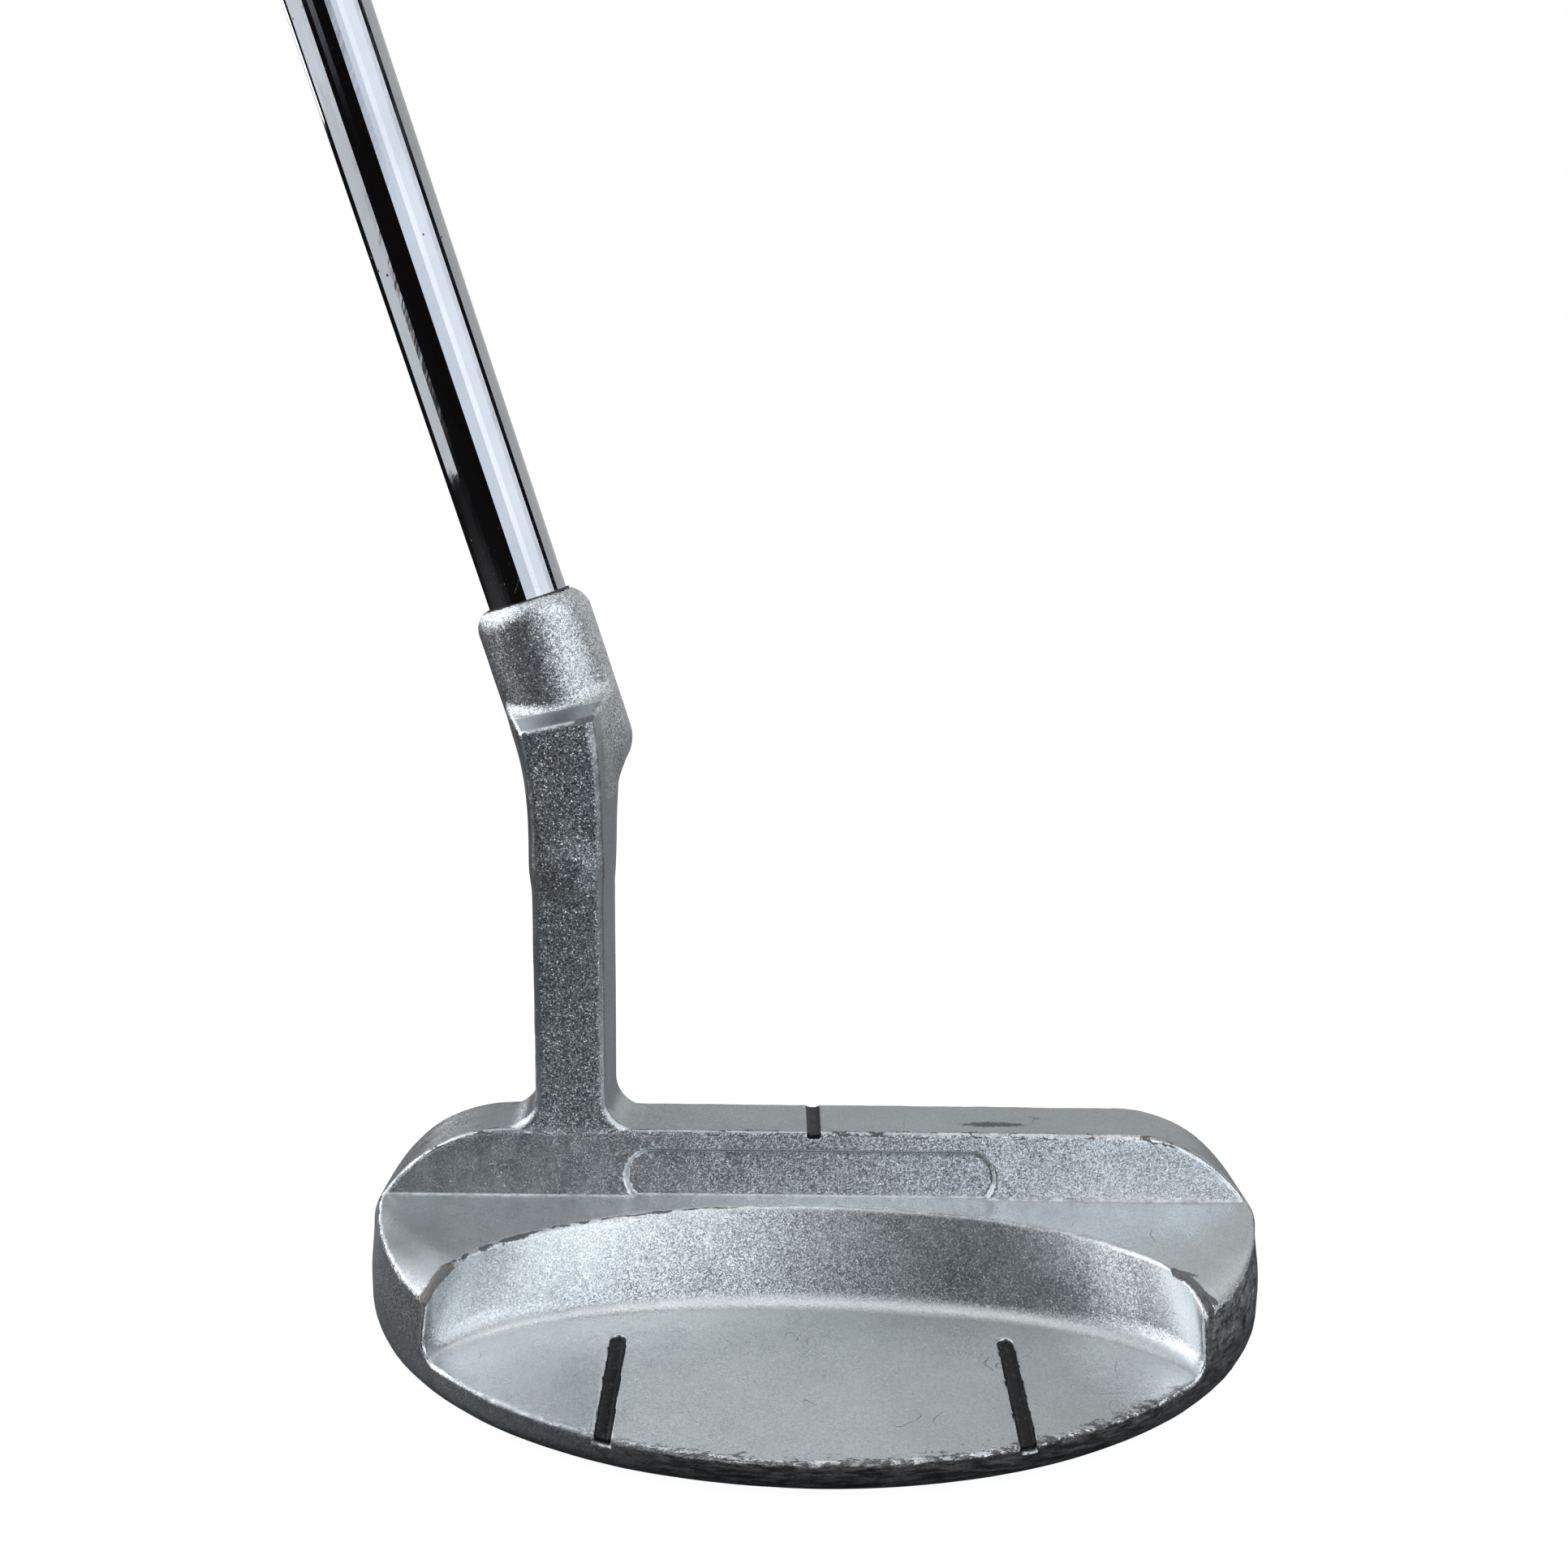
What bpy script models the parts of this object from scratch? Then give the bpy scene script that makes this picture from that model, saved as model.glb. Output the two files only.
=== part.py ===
"""A steel-shafted mallet putter, right-handed, standing on its sole.

Frame: +X towards the toe, +Y towards the target, +Z up, with the origin in the middle of the sole. Y is
measured below from the top edge of the striking face, and the club_frame empty moves it to that origin.
"""

import math

import bmesh
import bpy
from mathutils import Matrix, Vector

MM = 0.001
GAP = 0.3 * MM          # left between two pieces that touch
LAYER_GAP = 0.1 * MM    # left on each side of a thin bonded layer: epoxy, tape, paint
SOLE_MIDDLE_Y = -22.0 * MM

# Head, seen from above: a straight face and a half-elliptical back.
HEAD_HALF_WIDTH = 53.2 * MM
HEAD_WIDEST_Y = -8.0 * MM
HEAD_BACK_DEPTH = 39.5 * MM
FACE_CORNER_RADIUS = 7.0 * MM
SOLE_EDGE_RADIUS = 5.3 * MM
LEADING_EDGE_SHARE = 0.45  # of that radius, where the sole meets the face
FACE_LOFT = math.radians(3.5)
HEAD_TOP = 22.9 * MM
TOPLINE_REAR_Y = -8.8 * MM

# Head, seen from the front: a flat topline whose ends fall in round shoulders.
SHOULDER_START_X = 37.3 * MM
SHOULDER_RADIUS = 17.9 * MM

# The step behind the topline, and the shelf it lands on.
CREASE_Y = -10.9 * MM
SHELF_Z = 15.4 * MM
SHELF_CORNER_SLOPE = math.radians(19.0)

# The cavity: a flat floor that falls to the back, and a curved wall that leans outwards. The cavity, the
# recess and the two floor grooves share one centre line, a little to the heel side of the outline's own.
FEATURES_X = -0.7 * MM
CAVITY_CENTRE_Y = -33.0 * MM
CAVITY_TOP_AXES = (41.2 * MM, 20.1 * MM)
CAVITY_FOOT_AXES = (42.6 * MM, 12.6 * MM)
CAVITY_FOOT_TURN = math.radians(-1.2)
FLOOR_Z = 6.6 * MM
FLOOR_Z_AT_Y = -26.7 * MM
FLOOR_SLOPE = math.radians(3.6)

# The shallow round-ended recess on the step.
RECESS_LENGTH = 44.8 * MM
RECESS_HEIGHT = 5.6 * MM
RECESS_DEPTH = 1.0 * MM

# Alignment grooves, filled with paint.
GROOVE_WIDTH = 1.7 * MM
GROOVE_DEPTH = 0.9 * MM
PAINT_DEPTH = 0.35 * MM
GROOVE_SPACING = 42.85 * MM
GROOVE_START_Y = -26.7 * MM
TOP_GROOVE_X = -0.3 * MM
TOP_GROOVE_WIDTH = 1.6 * MM
TOP_GROOVE_DEPTH = 0.8 * MM

# The neck rises from the topline, and carries the hosel barrel in front of it.
NECK_LEFT_X = -33.75 * MM
NECK_RIGHT_X = -25.4 * MM
NECK_BEND_Z = 58.0 * MM
NECK_TOP_LEFT = (-34.9 * MM, 71.0 * MM)
NECK_TOP_RIGHT = (-26.6 * MM, 72.9 * MM)
NECK_DRAFT = 0.75 * MM  # that each side gains from the back to the front
NECK_SWELL = 1.9 * MM   # that each side gains on top of it, where the neck meets the barrel
NECK_FOOT_RADIUS = 4.0 * MM
LEDGE_RISE = 0.62       # of the ledge on top of the neck, for each unit forward
HOSEL_RADIUS = 6.9 * MM
HOSEL_LENGTH = 21.5 * MM
HOSEL_TOP_RADIUS = 2.6 * MM
HOSEL_BOTTOM_RADIUS = 4.5 * MM
THROAT_RADIUS = 4.6 * MM
THROAT_FOOT = Vector((-29.5, -4.6, 55.0)) * MM

# The shaft axis starts at the mouth of the hosel.
LIE = math.radians(72.2)
HOSEL_MOUTH = Vector((-35.4, 2.8, 85.7)) * MM
BORE_DEPTH = 18.0 * MM
SHAFT_TIP_RADIUS = 4.75 * MM
SHAFT_BUTT_RADIUS = 7.35 * MM
SHAFT_WALL = 0.5 * MM
SHAFT_PARALLEL_TIP = 215.0 * MM
SHAFT_STEPS = 9
SHAFT_STEP_PITCH = 36.0 * MM
SHAFT_STEP_LENGTH = 1.5 * MM
EPOXY_THICKNESS = 0.25 * MM
CLUB_LENGTH = 876.0 * MM

# The grip: a pistol shape, with a flat along the side that the thumbs lie on.
GRIP_LENGTH = 262.0 * MM
GRIP_CAP_THICKNESS = 4.0 * MM
GRIP_HALF_WIDTHS = (9.9 * MM, 12.6 * MM)
GRIP_FLAT_HEIGHTS = (9.0 * MM, 10.4 * MM)
GRIP_UNDER_DEPTHS = (10.0 * MM, 14.6 * MM)
PISTOL_BULGE = 3.2 * MM
TAPE_THICKNESS = 0.2 * MM
TAPE_LENGTH = 252.0 * MM
VENT_RADIUS = 1.5 * MM

ROUND_SEGMENTS = 48


def material(name, colour, metallic, roughness):
    made = bpy.data.materials.new(name)
    made.use_nodes = True
    shader = made.node_tree.nodes["Principled BSDF"]
    shader.inputs["Base Color"].default_value = (*colour, 1.0)
    shader.inputs["Metallic"].default_value = metallic
    shader.inputs["Roughness"].default_value = roughness
    return made


def add_empty(name, location, parent=None):
    made = bpy.data.objects.new(name, None)
    bpy.context.scene.collection.objects.link(made)
    made.location = location
    made.parent = parent
    return made


def add_object(name, mesh_builder, finish=None, parent=None):
    """Turns a bmesh into a smooth-shaded object. Without a finish it is a hidden cutter or building shape."""
    bmesh.ops.recalc_face_normals(mesh_builder, faces=mesh_builder.faces)
    mesh = bpy.data.meshes.new(name)
    mesh_builder.to_mesh(mesh)
    mesh_builder.free()
    mesh.shade_smooth()
    mesh.set_sharp_from_angle(angle=math.radians(30.0))
    made = bpy.data.objects.new(name, mesh)
    bpy.context.scene.collection.objects.link(made)
    made.parent = parent or bpy.data.objects["club_frame"]
    if finish is None:
        made.hide_render = True
        made.display_type = "WIRE"
    else:
        mesh.materials.append(finish)
    return made


def combine(target, tool, operation):
    modifier = target.modifiers.new(f"{operation.lower()} {tool.name}", "BOOLEAN")
    modifier.operation = operation
    modifier.solver = "EXACT"
    modifier.object = tool


def arc(centre, radius, start_degrees, end_degrees, steps):
    """Points along a circular arc, both ends included."""
    points = []
    for step in range(steps + 1):
        angle = math.radians(start_degrees + (end_degrees - start_degrees) * step / steps)
        points.append((centre[0] + radius * math.cos(angle), centre[1] + radius * math.sin(angle)))
    return points


def loft(rings):
    """A closed solid through rings of 3-D points, every ring with the same number of them."""
    builder = bmesh.new()
    loops = [[builder.verts.new(point) for point in ring] for ring in rings]
    builder.faces.new(loops[0])
    builder.faces.new(reversed(loops[-1]))
    count = len(loops[0])
    for lower, upper in zip(loops, loops[1:]):
        for index in range(count):
            after = (index + 1) % count
            builder.faces.new((lower[index], upper[index], upper[after], lower[after]))
    return builder


def turned(profile):
    """Spins an outline of (radius, height) points about Z. It is closed, so a tube's wall has both sides."""
    builder = bmesh.new()
    on_axis = profile[0][0] == 0.0 and profile[-1][0] == 0.0
    verts = [builder.verts.new((radius, 0.0, height)) for radius, height in profile]
    edges = [builder.edges.new(pair) for pair in zip(verts, verts[1:])]
    if not on_axis:
        edges.append(builder.edges.new((verts[-1], verts[0])))
    bmesh.ops.spin(
        builder,
        geom=verts + edges,
        cent=(0.0, 0.0, 0.0),
        axis=(0.0, 0.0, 1.0),
        angle=math.tau,
        steps=ROUND_SEGMENTS,
        use_merge=True,
    )
    bmesh.ops.remove_doubles(builder, verts=builder.verts, dist=0.001 * MM)
    return builder


def ellipse_point(axes, angle, turn=0.0):
    x = axes[0] * math.cos(angle)
    y = axes[1] * math.sin(angle)
    return (x * math.cos(turn) - y * math.sin(turn), x * math.sin(turn) + y * math.cos(turn))


def floor_height(y):
    return FLOOR_Z + (y - FLOOR_Z_AT_Y) * math.tan(FLOOR_SLOPE)


def head_outline(inset):
    """The head from above, counter-clockwise from the toe's widest point, drawn in by the inset."""
    half = HEAD_HALF_WIDTH - inset
    front = HEAD_TOP * math.tan(FACE_LOFT) - inset * LEADING_EDGE_SHARE
    radius = FACE_CORNER_RADIUS - inset
    points = arc((half - radius, front - radius), radius, 0.0, 90.0, 7)
    points += arc((radius - half, front - radius), radius, 90.0, 180.0, 7)
    steps = 56
    for step in range(steps + 1):
        angle = math.pi * (1.0 + step / steps)
        x = half * math.cos(angle)
        y = HEAD_WIDEST_Y + (HEAD_BACK_DEPTH - inset) * math.sin(angle)
        points.append((x, y))
    return points


def head_body():
    rings = []
    for x_and_z in arc((0.0, 0.0), SOLE_EDGE_RADIUS, 0.0, 90.0, 4)[::-1]:
        inset = SOLE_EDGE_RADIUS - x_and_z[0]
        height = SOLE_EDGE_RADIUS - x_and_z[1]
        rings.append([(x, y, height) for x, y in head_outline(inset)])
    rings.append([(x, y, HEAD_TOP + 1.0 * MM) for x, y in head_outline(0.0)])
    return loft(rings)


def prism_along_x(outline, reach):
    return loft([[(x, y, z) for y, z in outline] for x in (-reach, reach)])


def top_profile():
    """The block under the topline and its two round shoulders, to keep the head inside."""
    centre_z = HEAD_TOP - SHOULDER_RADIUS
    outline = arc((SHOULDER_START_X, centre_z), SHOULDER_RADIUS, 0.0, 90.0, 14)
    outline += arc((-SHOULDER_START_X, centre_z), SHOULDER_RADIUS, 90.0, 180.0, 14)
    low = -1.0 * MM
    outline += [(-SHOULDER_START_X - SHOULDER_RADIUS, low), (SHOULDER_START_X + SHOULDER_RADIUS, low)]
    return loft([[(x, y, z) for x, z in outline] for y in (60.0 * MM, -60.0 * MM)])


def front_of_face():
    low_y = HEAD_TOP * math.tan(FACE_LOFT)
    lean = math.tan(FACE_LOFT)
    below, above = -5.0 * MM, 40.0 * MM
    outline = [
        (low_y - below * lean, below),
        (30.0 * MM, below),
        (30.0 * MM, above),
        (low_y - above * lean, above),
    ]
    return prism_along_x(outline, 70.0 * MM)


def step_lean():
    """How far the step moves forward for each unit of height."""
    return (TOPLINE_REAR_Y - CREASE_Y) / (HEAD_TOP - SHELF_Z)


def behind_step():
    rise = 12.0 * MM
    outline = [
        (CREASE_Y, SHELF_Z),
        (CREASE_Y + rise * step_lean(), SHELF_Z + rise),
        (-70.0 * MM, SHELF_Z + rise),
        (-70.0 * MM, SHELF_Z),
    ]
    return prism_along_x(outline, 70.0 * MM)


def shelf_corner_cutter(side):
    """A leaning block that lowers the shelf from the end of the crease to the corner of the cavity."""
    start = Vector((side * 52.5 * MM, CREASE_Y, SHELF_Z))
    end = Vector((side * 35.0 * MM, -30.0 * MM, SHELF_Z))
    along = (end - start).normalized()
    outwards = along.cross(Vector((0.0, 0.0, -side)))
    fall = (outwards - Vector((0.0, 0.0, math.tan(SHELF_CORNER_SLOPE)))).normalized()
    reach = 40.0 * MM
    rings = []
    for centre in (start - along * 10.0 * MM, end + along * 20.0 * MM):
        rings.append([centre, centre + fall * reach, centre + fall * reach + Vector((0, 0, reach))])
    return loft(rings)


def cavity_cutter():
    rings = []
    steps = 44
    back = -70.0 * MM
    levels = ((CAVITY_FOOT_AXES, CAVITY_FOOT_TURN, None), (CAVITY_TOP_AXES, 0.0, SHELF_Z))
    for axes, turn, height in levels:
        ring = []
        for step in range(steps + 1):
            x, y = ellipse_point(axes, math.pi * step / steps, turn)
            x += FEATURES_X
            y += CAVITY_CENTRE_Y
            ring.append(Vector((x, y, floor_height(y) if height is None else height)))
        for x in (ring[-1].x, ring[0].x):
            ring.append(Vector((x, back, floor_height(back) if height is None else height)))
        rings.append(ring)
    top = [foot + (edge - foot) * 1.3 for foot, edge in zip(*rings)]
    return loft([rings[0], top])


def round_ended_block(length, height, depth):
    """A block with two round ends, lying along X and centred on the origin, from Z = 0 up to the depth."""
    radius = height / 2.0
    half = length / 2.0 - radius
    outline = arc((half, 0.0), radius, -90.0, 90.0, 10) + arc((-half, 0.0), radius, 90.0, 270.0, 10)
    return loft([[(x, y, z) for x, y in outline] for z in (0.0, depth)])


def recess_cutter():
    """Placed on the step, with its lower edge on the crease."""
    made = add_object("recess_cutter", round_ended_block(RECESS_LENGTH, RECESS_HEIGHT, 4.0 * MM))
    middle = SHELF_Z + RECESS_HEIGHT / 2.0
    middle_y = CREASE_Y + (middle - SHELF_Z) * step_lean()
    lean = math.atan(step_lean())
    into_head = Vector((0.0, math.cos(lean), -math.sin(lean)))
    made.location = Vector((FEATURES_X, middle_y, middle)) + into_head * RECESS_DEPTH
    made.rotation_euler = (math.pi / 2.0 - lean, 0.0, 0.0)
    return made


def floor_strip(name, x, width, start_inset, length, low, high, finish=None):
    """A round-started strip along Y, square to the cavity floor, from low to high measured off the floor."""
    radius = width / 2.0
    outline = arc((0.0, -radius - start_inset), radius, 0.0, 180.0, 8)
    outline += [(-radius, -length), (radius, -length)]
    builder = loft([[(a, b, c) for a, b in outline] for c in (low, high)])
    made = add_object(name, builder, finish)
    made.location = (x, GROOVE_START_Y, floor_height(GROOVE_START_Y))
    made.rotation_euler = (FLOOR_SLOPE, 0.0, 0.0)
    return made


def topline_strip(name, width, low, ends, finish=None):
    """A strip across the topline that also turns a little way down the step."""
    front, rear_drop, high = ends
    rear_y = TOPLINE_REAR_Y - rear_drop
    builder = bmesh.new()
    bmesh.ops.create_cube(builder, size=1.0)
    spans = (width, front - rear_y, high - low)
    centre = (TOP_GROOVE_X, (front + rear_y) / 2.0, HEAD_TOP + (high + low) / 2.0)
    for vert in builder.verts:
        vert.co = Vector(centre) + Vector(part * span for part, span in zip(vert.co, spans))
    return add_object(name, builder, finish)


def neck():
    """The flat-backed neck: an outline in X and Z with flared feet, whose top slopes up to the barrel."""
    foot = HEAD_TOP - 1.0 * MM
    r = NECK_FOOT_RADIUS
    bend = [(0.0, 0.0), (0.35, 0.2), (0.65, 0.6), (0.85, 0.95)]
    right = [(NECK_RIGHT_X + r, foot)] + arc((NECK_RIGHT_X + r, HEAD_TOP + r), r, 270.0, 180.0, 6)
    left = arc((NECK_LEFT_X - r, HEAD_TOP + r), r, 0.0, -90.0, 6) + [(NECK_LEFT_X - r, foot)]
    swell = [0.0] * len(right)
    for rise, share in bend:
        z = NECK_BEND_Z + rise * (NECK_TOP_RIGHT[1] - NECK_BEND_Z)
        right.append((NECK_RIGHT_X + rise * rise * (NECK_TOP_RIGHT[0] - NECK_RIGHT_X), z))
        z = NECK_BEND_Z + rise * (NECK_TOP_LEFT[1] - NECK_BEND_Z)
        left.insert(0, (NECK_LEFT_X + rise * rise * (NECK_TOP_LEFT[0] - NECK_LEFT_X), z))
        swell.append(NECK_SWELL * share)
    outline = right + [NECK_TOP_RIGHT, NECK_TOP_LEFT] + left
    swell += [NECK_SWELL, NECK_SWELL] + swell[::-1]
    front = -0.05 * MM
    middle = (NECK_LEFT_X + NECK_RIGHT_X) / 2.0
    front_ring = []
    for (x, z), extra in zip(outline, swell):
        on_top = (x, z) in (NECK_TOP_LEFT, NECK_TOP_RIGHT)
        rise = LEDGE_RISE * (front - TOPLINE_REAR_Y) if on_top else 0.0
        out = 0.0 if on_top else NECK_DRAFT + extra
        front_ring.append((x + math.copysign(out, x - middle), front, z + rise))
    return loft([[(x, TOPLINE_REAR_Y, z) for x, z in outline], front_ring])


def hosel_profile():
    top = HOSEL_TOP_RADIUS
    low = HOSEL_BOTTOM_RADIUS
    points = [(0.0, 0.0)]
    points += arc((HOSEL_RADIUS - top, -top), top, 90.0, 0.0, 6)
    points += arc((HOSEL_RADIUS - low, low - HOSEL_LENGTH), low, 0.0, -90.0, 6)
    points.append((0.0, -HOSEL_LENGTH))
    return points


def rod_between(start, end, radius):
    builder = bmesh.new()
    along = end - start
    turn = Vector((0.0, 0.0, 1.0)).rotation_difference(along).to_matrix().to_4x4()
    bmesh.ops.create_cone(
        builder,
        cap_ends=True,
        segments=ROUND_SEGMENTS // 2,
        radius1=radius,
        radius2=radius,
        depth=along.length,
        matrix=Matrix.Translation((start + end) / 2.0) @ turn,
    )
    return builder


def groove_places():
    half = GROOVE_SPACING / 2.0
    return (("heel", FEATURES_X - half), ("toe", FEATURES_X + half))


def build_head(axis, silver):
    head = add_object("head_casting", head_body(), silver)
    combine(head, add_object("top_profile", top_profile()), "INTERSECT")
    combine(head, add_object("front_of_face", front_of_face()), "DIFFERENCE")
    combine(head, add_object("behind_step", behind_step()), "DIFFERENCE")
    for side, end in ((-1.0, "heel"), (1.0, "toe")):
        combine(head, add_object(f"shelf_corner_{end}", shelf_corner_cutter(side)), "DIFFERENCE")
    combine(head, add_object("cavity_cutter", cavity_cutter()), "DIFFERENCE")
    combine(head, recess_cutter(), "DIFFERENCE")
    combine(head, add_object("neck_shape", neck()), "UNION")
    throat_top = HOSEL_MOUTH - shaft_direction() * (HOSEL_LENGTH - HOSEL_RADIUS)
    combine(head, add_object("throat_shape", rod_between(THROAT_FOOT, throat_top, THROAT_RADIUS)), "UNION")
    combine(head, add_object("hosel_shape", turned(hosel_profile()), parent=axis), "UNION")
    bore_radius = SHAFT_TIP_RADIUS + LAYER_GAP * 2.0 + EPOXY_THICKNESS
    bore = [(0.0, 5.0 * MM), (bore_radius, 5.0 * MM), (bore_radius, -BORE_DEPTH), (0.0, -BORE_DEPTH)]
    combine(head, add_object("bore_cutter", turned(bore), parent=axis), "DIFFERENCE")
    top_groove = topline_strip(
        "top_groove_cutter", TOP_GROOVE_WIDTH, -TOP_GROOVE_DEPTH, (2.0 * MM, 1.0 * MM, 3.0 * MM)
    )
    combine(head, top_groove, "DIFFERENCE")
    for end, x in groove_places():
        cutter = floor_strip(
            f"{end}_groove_cutter", x, GROOVE_WIDTH, 0.0, 25.0 * MM, -GROOVE_DEPTH, 2.0 * MM
        )
        combine(head, cutter, "DIFFERENCE")


def build_paint(enamel):
    for end, x in groove_places():
        floor_strip(
            f"{end}_sight_paint",
            x,
            GROOVE_WIDTH - 2.0 * LAYER_GAP,
            LAYER_GAP,
            16.6 * MM,
            LAYER_GAP - GROOVE_DEPTH,
            -PAINT_DEPTH,
            enamel,
        )
    low = LAYER_GAP - TOP_GROOVE_DEPTH
    ends = (-0.8 * MM, 0.2 * MM, -PAINT_DEPTH)
    topline_strip("topline_sight_paint", TOP_GROOVE_WIDTH - 2.0 * LAYER_GAP, low, ends, enamel)


def shaft_direction():
    return Vector((-math.cos(LIE), 0.0, math.sin(LIE)))


def butt_distance():
    """From the hosel's mouth to the end of the grip, so that the club has its length from the sole."""
    return CLUB_LENGTH - HOSEL_MOUTH.z / math.sin(LIE)


def shaft_radii(start, end):
    """(radius, height) pairs along the outside: a parallel tip, and steps up to the butt."""
    rise = (SHAFT_BUTT_RADIUS - SHAFT_TIP_RADIUS) / SHAFT_STEPS
    points = [(SHAFT_TIP_RADIUS, start)]
    for step in range(SHAFT_STEPS):
        height = SHAFT_PARALLEL_TIP + SHAFT_STEP_PITCH * step
        radius = SHAFT_TIP_RADIUS + rise * step
        points.append((radius, height))
        points.append((radius + rise, height + SHAFT_STEP_LENGTH))
    points.append((SHAFT_BUTT_RADIUS, end))
    return points


def build_shaft(axis, chrome, resin, plastic):
    tip = GAP - BORE_DEPTH
    butt = butt_distance() - GRIP_CAP_THICKNESS - GAP
    outside = shaft_radii(tip, butt)
    inside = [(radius - SHAFT_WALL, height) for radius, height in reversed(outside)]
    add_object("shaft", turned(outside + inside), chrome, axis)

    inner = SHAFT_TIP_RADIUS + LAYER_GAP
    outer = inner + EPOXY_THICKNESS
    low, high = tip, -0.2 * MM
    layer = [(outer, high), (outer, low), (inner, low), (inner, high)]
    add_object("hosel_epoxy", turned(layer), resin, axis)

    plug_radius = SHAFT_TIP_RADIUS - SHAFT_WALL - LAYER_GAP
    plug_top = tip + 10.0 * MM
    plug = [(0.0, plug_top), (plug_radius, plug_top), (plug_radius, tip), (0.0, tip)]
    add_object("shaft_tip_plug", turned(plug), plastic, axis)


def grip_section(share):
    """One section of the grip, from the mouth at 0 to the cap at 1, as points about the shaft axis."""
    ease = share * share * (3.0 - 2.0 * share)
    half_width, flat, under = (
        low + (high - low) * ease
        for low, high in (GRIP_HALF_WIDTHS, GRIP_FLAT_HEIGHTS, GRIP_UNDER_DEPTHS)
    )
    bulge = PISTOL_BULGE * math.exp(-(((share - 0.68) / 0.14) ** 2))
    round_top = half_width * 1.04
    points = []
    for step in range(ROUND_SEGMENTS):
        angle = math.tau * (step + 0.5) / ROUND_SEGMENTS
        reach = round_top if math.cos(angle) > 0.0 else under + bulge
        points.append((min(reach * math.cos(angle), flat), half_width * math.sin(angle)))
    return points


def build_grip(axis, rubber, tape_finish, cap_finish):
    butt = butt_distance()
    cap_base = butt - GRIP_CAP_THICKNESS
    mouth = butt - GRIP_LENGTH
    tape_inner = SHAFT_BUTT_RADIUS + LAYER_GAP
    tape_outer = tape_inner + TAPE_THICKNESS
    bore_radius = tape_outer + LAYER_GAP
    low, high = cap_base - GAP - TAPE_LENGTH, cap_base - GAP
    layer = [(tape_outer, high), (tape_outer, low), (tape_inner, low), (tape_inner, high)]
    add_object("grip_tape", turned(layer), tape_finish, axis)

    stations = 30
    rings = []
    for station in range(stations + 1):
        share = station / stations
        height = mouth + (cap_base - GAP - mouth) * share
        rings.append([(x, y, height) for x, y in grip_section(share)])
    sleeve = add_object("grip_sleeve", loft(rings), rubber, axis)
    bore = [
        (0.0, butt),
        (bore_radius, butt),
        (bore_radius, mouth - 1.0 * MM),
        (0.0, mouth - 1.0 * MM),
    ]
    combine(sleeve, add_object("grip_bore_cutter", turned(bore), parent=axis), "DIFFERENCE")

    section = grip_section(1.0)
    rings = []
    for inset, height in ((1.0, cap_base), (1.0, butt - 1.2 * MM), (0.96, butt - 0.3 * MM), (0.9, butt)):
        rings.append([(x * inset, y * inset, height) for x, y in section])
    cap = add_object("grip_cap", loft(rings), cap_finish, axis)
    vent = [
        (0.0, butt + MM),
        (VENT_RADIUS, butt + MM),
        (VENT_RADIUS, cap_base - MM),
        (0.0, cap_base - MM),
    ]
    combine(cap, add_object("vent_cutter", turned(vent), parent=axis), "DIFFERENCE")


def main():
    for old in list(bpy.data.objects):
        bpy.data.objects.remove(old, do_unlink=True)
    frame = add_empty("club_frame", Vector((0.0, -SOLE_MIDDLE_Y, 0.0)))
    axis = add_empty("shaft_axis", HOSEL_MOUTH, frame)
    axis.rotation_euler = (0.0, LIE - math.pi / 2.0, 0.0)

    silver = material("silver_paint", (0.50, 0.52, 0.53), 0.7, 0.42)
    enamel = material("black_enamel", (0.01, 0.01, 0.012), 0.0, 0.2)
    chrome = material("chrome", (0.80, 0.82, 0.84), 1.0, 0.06)
    resin = material("cured_epoxy", (0.09, 0.08, 0.07), 0.0, 0.35)
    plastic = material("plug_plastic", (0.75, 0.73, 0.68), 0.0, 0.5)
    rubber = material("grip_rubber", (0.018, 0.018, 0.019), 0.0, 0.75)
    tape_finish = material("grip_tape", (0.72, 0.68, 0.58), 0.0, 0.8)
    cap_finish = material("cap_rubber", (0.025, 0.025, 0.026), 0.0, 0.6)

    build_head(axis, silver)
    build_paint(enamel)
    build_shaft(axis, chrome, resin, plastic)
    build_grip(axis, rubber, tape_finish, cap_finish)
    bpy.context.view_layer.update()


main()
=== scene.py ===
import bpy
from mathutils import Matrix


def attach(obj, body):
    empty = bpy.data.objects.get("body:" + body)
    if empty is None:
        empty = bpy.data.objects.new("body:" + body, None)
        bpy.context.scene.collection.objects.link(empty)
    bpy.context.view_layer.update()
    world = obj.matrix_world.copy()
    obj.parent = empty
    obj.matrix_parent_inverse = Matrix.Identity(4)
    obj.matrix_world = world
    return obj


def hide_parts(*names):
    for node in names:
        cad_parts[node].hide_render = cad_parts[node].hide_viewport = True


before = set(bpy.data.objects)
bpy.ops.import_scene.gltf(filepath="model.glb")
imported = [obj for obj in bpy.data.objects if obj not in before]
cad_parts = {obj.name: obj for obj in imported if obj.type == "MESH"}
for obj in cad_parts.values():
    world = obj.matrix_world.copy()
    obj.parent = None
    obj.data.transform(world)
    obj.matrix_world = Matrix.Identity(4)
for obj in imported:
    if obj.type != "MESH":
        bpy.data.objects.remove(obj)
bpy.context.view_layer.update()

import math

import bpy
import numpy as np
import openvdb
from mathutils import Matrix, Vector

# A silver-painted mallet putter with a chromed shaft, on a pale studio floor. Lengths are in millimetres
# here unless a name says otherwise, and Y is measured from the top edge of the striking face.
MM = 0.001
FACE_Y = 22.0            # of the face's top edge, in the frame's own Y

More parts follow.
